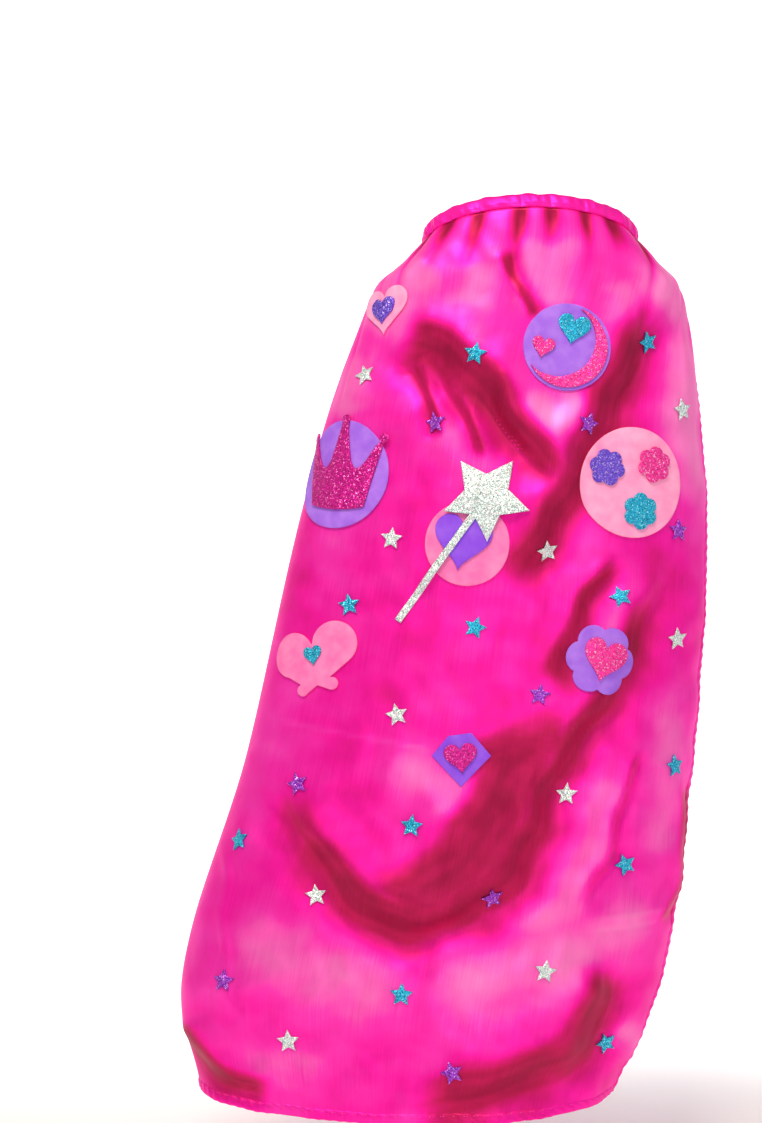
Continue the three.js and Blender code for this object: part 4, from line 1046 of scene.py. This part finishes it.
box_stitches("loop_tab_stitches", LOOP_MIDDLE, loop_faces, "cape")
hook_faces = [(hook_back, -1), (HOOK_TAB_AT + TAB_THICK, 1)]
box_stitches("hook_tab_stitches", HOOK_MIDDLE, hook_faces, "closure_tab")
print("closure: two tabs, two tapes with their hooks and loops, and four rows of box stitching")

# %% [markdown]
# ## Die-cut foam
# Each shape is cut from 2 mm foam by a sharp die, so its walls are square with edges just eased, and it is
# glued flat. So a piece starts as a flat outline. Its rim is a small profile carried round the outline,
# its faces are filled with a net of triangles, and every point is then walked out over the cloth from the
# piece's seat, so that the foam bends with the satin under it.

# %% Laying flat shapes on the cloth
FOAM = 2.0
GLUE = 0.3
LAYERS = [GLUE, GLUE + FOAM + 0.1, GLUE + 2 * FOAM + 0.2]
EDGE = 0.55  # rounding of a cut edge
RIM = np.array([(1, 0), (0.29, -0.29), (0, -1)])  # a quarter round: shares of EDGE inward and up
NET_STEP = 3.6  # spacing of the points inside a shape


def seat(x, z):
    """(u, v) of the cloth that is seen from behind at x and z."""
    gap = np.hypot(NET[..., 0] - x, NET[..., 2] - z) + 1e6 * (NET_OUT[..., 1] > -0.1)
    j, i = np.unravel_index(gap.argmin(), gap.shape)
    return np.array([i / (NET_COLUMNS - 1), j / (NET_ROWS - 1)])


def walk(start, xy, paces=8):
    """(u, v) that each of xy, (n, 2) millimetres to the right and up from start, comes to on the cloth.
    Each goes in short steps that keep their heading and stay in the surface."""
    uv = np.tile(start, (len(xy), 1))
    out = sample(NET_OUT, uv[:1])[0]
    right = unit(np.array([1.0, 0, 0]) - out * out[0])
    heading = (xy[:, :1] * right + xy[:, 1:] * np.cross(out, right)) / paces
    pace = np.linalg.norm(heading, axis=1, keepdims=True)
    for _ in range(paces):
        across, down, out = (sample(net, uv) for net in (NET_ACROSS, NET_DOWN, NET_OUT))
        heading -= out * (heading * out).sum(1, keepdims=True)
        heading *= pace / np.maximum(np.linalg.norm(heading, axis=1, keepdims=True), 1e-9)
        a, b, c = (across**2).sum(1), (across * down).sum(1), (down**2).sum(1)
        p, q = (across * heading).sum(1), (down * heading).sum(1)
        uv = uv + np.stack([c * p - b * q, a * q - b * p], -1) / (a * c - b * b)[:, None]
    return uv


def split_edges(outline, longest=2.6):
    """The closed outline with points added so that no edge is longer."""
    ahead = np.roll(outline, -1, 0)
    counts = np.ceil(np.linalg.norm(ahead - outline, axis=1) / longest).astype(int).clip(1)
    which = np.repeat(np.arange(len(outline)), counts)
    step = np.arange(len(which)) - np.repeat(np.cumsum(counts) - counts, counts)
    share = (step / counts[which])[:, None]
    return outline[which] * (1 - share) + ahead[which] * share


def evened(outline, step=1.8):
    """The closed outline again, with its points evenly spaced along it."""
    closed = np.vstack([outline, outline[:1]])
    along = travelled(closed)
    at = np.linspace(0, along[-1], int(along[-1] / step), endpoint=False)
    return np.stack([np.interp(at, along, closed[:, k]) for k in (0, 1)], -1)


def inset(outline, distance):
    """The outline moved inwards along the mean of its two edges' normals."""
    edge = np.roll(outline, -1, 0) - outline
    normal = unit(np.stack([edge[:, 1], -edge[:, 0]], -1))
    both = unit(normal + np.roll(normal, 1, 0))
    lean = (both * normal).sum(1, keepdims=True).clip(0.5)
    return outline - both / lean * distance


def inside(points, outline, margin):
    """Which points lie inside the closed outline, more than margin from its points. A point is inside
    if a line to its right crosses the outline an odd number of times."""
    a, b = outline, np.roll(outline, -1, 0)
    x, y = points[:, :1], points[:, 1:]
    spans = (a[:, 1] > y) != (b[:, 1] > y)
    rise = np.where(b[:, 1] == a[:, 1], 1, b[:, 1] - a[:, 1])
    crossing = a[:, 0] + (y - a[:, 1]) * (b[:, 0] - a[:, 0]) / rise
    odd = (spans & (crossing > x)).sum(1) % 2 == 1
    near = np.hypot(x - a[:, 0], y - a[:, 1]).min(1)
    return odd & (near > margin)


def filled(outline, step):
    """Points and triangles that fill an outline: its own points first, then a triangular net inside."""
    low, high = outline.min(0), outline.max(0)
    rows = np.arange(low[1], high[1], step * 0.87)
    columns = np.arange(low[0], high[0], step)
    x, y = np.meshgrid(columns, rows)
    x = x + (np.arange(len(rows)) % 2)[:, None] * step / 2
    net = np.stack([x.ravel(), y.ravel()], -1)
    net = net[inside(net, outline, 0.55 * step)]
    points = np.vstack([outline, net])
    loop = list(range(len(outline)))
    made = geometry.delaunay_2d_cdt(points.tolist(), [], [loop], 1, 1e-6)
    source = np.array([origins[0] for origins in made[3]])
    return points, source[np.array(made[2])]


def foam_piece(name, outline, seated, layer, foam, settle=None, corners=False):
    """A foam shape from its outline in millimetres round its seat. layer says what it is glued on,
    corners that the outline's corners are sharp, and settle, if given, turns flat points into how far
    the piece drops from there."""
    outline = (split_edges if corners else evened)(np.asarray(outline, float))
    area = np.cross(outline, np.roll(outline, -1, 0)).sum()
    outline = outline if area > 0 else outline[::-1]
    top = [(inset(outline, EDGE * across), FOAM + EDGE * up) for across, up in RIM]
    bottom = [(inset(outline, EDGE * across), -EDGE * up) for across, up in RIM[::-1]]
    rings = top + bottom
    flat, triangles = filled(outline, NET_STEP)
    count, inner = len(outline), len(flat) - len(outline)
    points = np.vstack([ring for ring, _ in rings] + [flat[count:]] * 2)
    level = np.concatenate([np.full(count, up) for _, up in rings] + [np.full(inner, FOAM), np.zeros(inner)])
    level = level + LAYERS[layer]
    if settle is not None:
        level = level - settle(points)
    last = (len(rings) - 1) * count
    past = len(rings) * count
    cap = np.where(triangles < count, triangles, triangles - count + past)
    under = np.where(triangles < count, triangles + last, triangles - count + past + inner)
    walls = grid_faces(len(rings), count, round_columns=True)
    space = lifted(walk(seated, points), level)
    faces = [cap, under[:, ::-1], walls]
    return new_piece(name, space, faces, FOAMS[foam], foam, [name], crease=50)


# %% [markdown]
# ### Outlines
# Hearts, rounds, stars and flowers are formulas. A heart is x = sin^3 t, y = 13 cos t - 5 cos 2t -
# 2 cos 3t - cos 4t. A flower's radius follows |cos 3a|. Each is centred on its own middle.

# %% Outlines
def turned(outline, degrees=0.0, at=(0.0, 0.0)):
    """An outline turned anticlockwise and moved."""
    c, s = np.cos(np.radians(degrees)), np.sin(np.radians(degrees))
    return np.asarray(outline) @ np.array([[c, s], [-s, c]]) + at


def round_outline(radius, count=120):
    a = angles(count)
    return radius * np.stack([np.cos(a), np.sin(a)], -1)


def heart_outline(width, height, count=90):
    t = angles(count)
    y = 13 * np.cos(t) - 5 * np.cos(2 * t) - 2 * np.cos(3 * t) - np.cos(4 * t)
    return np.stack([-width / 2 * np.sin(t) ** 3, height / 29 * (y + 2.5)], -1)


def star_outline(radius, waist):
    a = np.pi / 2 + np.pi / 5 * np.arange(10)
    reach = np.where(np.arange(10) % 2, radius * waist, radius)
    return np.stack([reach * np.cos(a), reach * np.sin(a)], -1)


def flower_outline(radius, notch=0.18, count=144):
    a = angles(count)
    reach = radius * (1 - notch + notch * np.abs(np.cos(3 * a)) ** 0.7)
    return np.stack([reach * np.cos(a), reach * np.sin(a)], -1)


def arc(at, radius, start, end, count=24):
    a = angles(count, start, end, closed=True)
    return np.array(at) + radius * np.stack([np.cos(a), np.sin(a)], -1)


def crescent_outline(radius, bite_at, bite_radius):
    """A round with a bite: the outer arc between the two horns, and back along the bite."""
    gap = np.hypot(*bite_at)
    way = np.degrees(np.arctan2(bite_at[1], bite_at[0]))
    horn = np.arccos((gap**2 + radius**2 - bite_radius**2) / (2 * gap * radius))
    bite = np.degrees(np.arccos((radius * np.cos(horn) - gap) / bite_radius))
    horn = np.degrees(horn)
    outer = arc((0, 0), radius, way + horn, way + 360 - horn, 60)
    inner = arc(bite_at, bite_radius, way + 360 - bite, way + bite, 60)
    return np.vstack([outer, inner[1:-1]])


# %% Outlines of the crown, the wand and the butterfly
def crown_outline():
    """Three ball-ended points on a band whose lower edge sags: right half, mirrored."""
    ball = arc((45, 37), 4.6, -75, 165, 16)
    middle = arc((0, 54), 5, -30, 90, 12)
    edge = [(0, -36), (12, -35.4), (22, -34), (31, -32)]
    valley = [(41.0, 33), (37, 29), (29, 15), (23, 7), (17, 5), (12, 12), (8, 28), (4.8, 44), (4.2, 51)]
    right = np.vstack([edge, [(37, -2), (44.5, 31.5)], ball, valley, middle])
    return np.vstack([right, right[::-1][1:-1] * [-1, 1]])


WAND_STAR, WAND_STAR_AT = 44.0, (19.2, 45.0)
WAND_STICK, WAND_WIDTH, WAND_TURN = 148.0, 7.0, -126.0
WAND_NOTCH = 3  # the star's corner that the stick grows from
WAND_DISC = PATCHES["wand"][2]


def wand_outline():
    """A star and a stick in one piece. The stick leaves the star at a notch, along the star's radius."""
    star = star_outline(WAND_STAR, 0.5)
    way = unit(star[WAND_NOTCH])
    side = np.array([-way[1], way[0]]) * WAND_WIDTH / 2
    root = np.linalg.norm(star[WAND_NOTCH]) + 1.5
    handle = [way * root - side, way * WAND_STICK - side, way * WAND_STICK + side, way * root + side]
    whole = np.vstack([star[:WAND_NOTCH], handle, star[WAND_NOTCH + 1 :]])
    return turned(whole, WAND_TURN - np.degrees(np.arctan2(way[1], way[0])), WAND_STAR_AT)


def wand_settle(points):
    """Past the disc's rim the wand bends down to the satin."""
    past = (np.hypot(points[:, 0], points[:, 1]) - WAND_DISC - 3) / 30
    return (LAYERS[2] - LAYERS[0]) * smooth(past)


def butterfly_outline():
    """Two large and two small wings as arcs, with a notch between the small ones."""
    left = [arc((-25, 22.6), 22.3, 25, 262), arc((-13, -12.5), 5.8, 110, 330, 14)]
    right = [arc((15.5, -6.5), 6.3, 235, 465, 14), arc((18.2, 32.5), 22, -52, 180)]
    return np.vstack([*left, [(1.8, -7.8)], *right]) * (1.1, 1)


# %% Foam patches: each piece's name, outline, layer and foam
GEM = np.array([(9, 25), (-13, 22), (-29, 3), (-1, -27), (28, 3)], float)
BLOOMS = [("purple", (-27, 14), -14), ("pink", (22, 18), 20), ("turquoise", (7, -28), 30)]
PATCH_PIECES = {
    "heart": [
        ("heart_base", turned(heart_outline(55, 50), -3), 0, "pale_pink_foam"),
        ("heart_top", turned(heart_outline(29, 28), -3, (-1, 0)), 1, "purple_glitter"),
    ],
    "moon": [
        ("moon_disc", round_outline(43), 0, "purple_foam"),
        ("moon_crescent", crescent_outline(40, (-9, 8), 37), 1, "pink_glitter"),
        ("moon_heart_large", turned(heart_outline(32, 30), -12, (5.8, 16.6)), 1, "turquoise_glitter"),
        ("moon_heart_small", turned(heart_outline(22, 21), -14, (-24, -1)), 1, "pink_glitter"),
    ],
    "crown": [
        ("crown_disc", round_outline(54), 0, "purple_foam"),
        ("crown_top", turned(crown_outline(), -9, (2, 0)), 1, "magenta_glitter"),
    ],
    "wand": [
        ("wand_disc", round_outline(WAND_DISC), 0, "pink_foam"),
        ("wand_heart", turned(heart_outline(56, 54), -10, (-5, 0)), 1, "deep_purple_foam"),
        ("wand", wand_outline(), 2, "silver_glitter", wand_settle, True),
    ],
    "flowers": [
        ("flowers_disc", round_outline(54), 0, "pale_pink_foam"),
        *(
            (f"bloom_{colour}", turned(flower_outline(18, 0.22), turn, at), 1, f"{colour}_glitter")
            for colour, at, turn in BLOOMS
        ),
    ],
    "butterfly": [
        ("butterfly_base", butterfly_outline() + (3.5, -18), 0, "pink_foam"),
        ("butterfly_heart", turned(heart_outline(20, 19), 8, (1, 3)), 1, "turquoise_glitter"),
    ],
    "blossom": [
        ("blossom_base", turned(flower_outline(35), -8), 0, "purple_foam"),
        ("blossom_heart", turned(heart_outline(43, 42), -15, (2.8, -1.4)), 1, "pink_glitter"),
    ],
    "gem": [
        ("gem_base", GEM, 0, "deep_purple_foam", None, True),
        ("gem_heart", turned(heart_outline(32, 29), 6, (-1, 0)), 1, "magenta_glitter"),
    ],
}
for patch, pieces in PATCH_PIECES.items():
    seated = seat(*PATCHES[patch][:2])
    for name, outline, *how in pieces:
        foam_piece(name, outline, seated, *how)
print("patches:", len(PATCH_PIECES))

# %% [markdown]
# ### Scattered stars
# The small stars come punched from glitter foam, and they were stuck on by hand, so each has its own turn.

# %% Stars: right of the spine, up, turn in degrees
STAR_RADIUS, STAR_WAIST = 11.5, 0.48
STARS = {
    "silver": [
        (-164, -138, 8), (147, -171, 10), (-138, -298, -6), (12, -310, 5), (141, -397, 0),
        (-133, -468, 12), (31, -545, -4), (-212, -644, 6), (8, -713, -10), (-238, -783, 4),
    ],
    "turquoise": [
        (-58, -119, -10), (112, -106, 14), (-180, -362, 6), (-58, -383, -18), (83, -354, 20), (-120, -574, -6),
        (139, -521, 8), (88, -615, 20), (-130, -734, -4), (70, -790, 16), (-288, -595, 0),
    ],
    "plum": [
        (-96, -186, 10), (51, -186, -20), (4, -449, -10), (-230, -536, 14),
        (-42, -643, 6), (-303, -729, -8), (-81, -807, 18), (142, -290, 0),
    ],
}
for colour, places in STARS.items():
    for count, (x, z, turn) in enumerate(places, 1):
        star = turned(star_outline(STAR_RADIUS, STAR_WAIST), turn)
        foam_piece(f"star_{colour}_{count}", star, seat(x, z), 0, f"{colour}_glitter", corners=True)
print("stars:", sum(len(places) for places in STARS.values()))

# %% [markdown]
# ## Light, floor and backdrop
# A big soft lamp above and in front of the cloth gives the pale sheen on what looks up, and leaves what
# looks down to the dark of the room, which is how satin shows its folds. It is a little warm, so that the
# brightest pink doesn't turn violet. The floor and backdrop are one pale sweep.
#
# The view transform is Standard. Blender's usual one, AgX, fades strong colours as they get bright, and a
# hot pink dye would come out dull.

# %% Studio
def lamp(name, at, aim, size, power, colour="#ffffff"):
    """A rectangle of light at a place, turned to look at its aim."""
    data = bpy.data.lights.new(name, "AREA")
    data.shape = "RECTANGLE"
    data.size, data.size_y = size
    data.energy = power
    data.color = hex_colour(colour)[:3]
    made = bpy.data.objects.new(name, data)
    made.location = at
    way = np.array(aim, float) - at
    tip = np.arctan2(np.hypot(way[0], way[1]), -way[2])
    made.rotation_euler = Euler((tip, 0, np.arctan2(way[1], way[0]) - np.pi / 2))
    bpy.context.scene.collection.objects.link(made)
    return made


lamp("key_softbox", (-0.6, -1.5, 2.1), (-0.05, -0.1, -0.35), (1.4, 0.9), 76, "#fff0e0")
lamp("front_fill", (0.3, -3.2, 0.3), (-0.1, -0.1, -0.4), (1.2, 1.2), 20)
lamp("right_edge", (2.0, -0.5, 0.6), (0, 0, -0.3), (0.5, 1.6), 7)
lamp("left_edge", (-2.2, -0.5, 0.5), (0, 0, -0.4), (0.5, 1.6), 3)
world = bpy.data.worlds.new("studio")
world.use_nodes = True
room = world.node_tree.nodes["Background"]
room.inputs["Color"].default_value = hex_colour("#ffffff")
room.inputs["Strength"].default_value = 0.2
bpy.context.scene.world = world
bpy.context.scene.view_settings.view_transform = "Standard"

FLOOR = -0.93
BACKDROP = {"Base Color": hex_colour("#f4f2f2"), "Roughness": 0.9, "Emission Color": hex_colour("#ffffff")}
paint, paint_shader = new_material("pale_backdrop", BACKDROP)
paint_place = node(paint, "ShaderNodeTexCoord").outputs["Object"]
paint_depth = node(paint, "ShaderNodeSeparateXYZ", {0: paint_place}).outputs["Y"]
paint_glow = {"Value": paint_depth, "From Min": 0.1, "From Max": 0.8, "To Min": 0.15, "To Max": 0.8}
glow = node(paint, "ShaderNodeMapRange", paint_glow, interpolation_type="SMOOTHSTEP")
join(paint, glow.outputs["Result"], paint_shader, "Emission Strength")


def sweep():
    """Floor and backdrop: a line forward to back that rises in a quarter round, carried across."""
    quarter = np.linspace(0, np.pi / 2, 24)
    bend = 1.0
    y = np.concatenate([[-6.0], 4.0 + bend * np.sin(quarter), [4.0 + bend]])
    z = np.concatenate([[FLOOR], FLOOR + bend * (1 - np.cos(quarter)), [FLOOR + 5]])
    x = np.linspace(-8, 8, 2)
    points = np.stack([np.tile(x, len(y)), np.repeat(y, 2), np.repeat(z, 2)], -1)
    mesh = bpy.data.meshes.new("backdrop")
    mesh.from_pydata(points.tolist(), [], grid_faces(len(y), 2)[:, ::-1].tolist())
    mesh.shade_smooth()
    mesh.materials.append(paint)
    made = bpy.data.objects.new("backdrop", mesh)
    bpy.context.scene.collection.objects.link(made)


sweep()
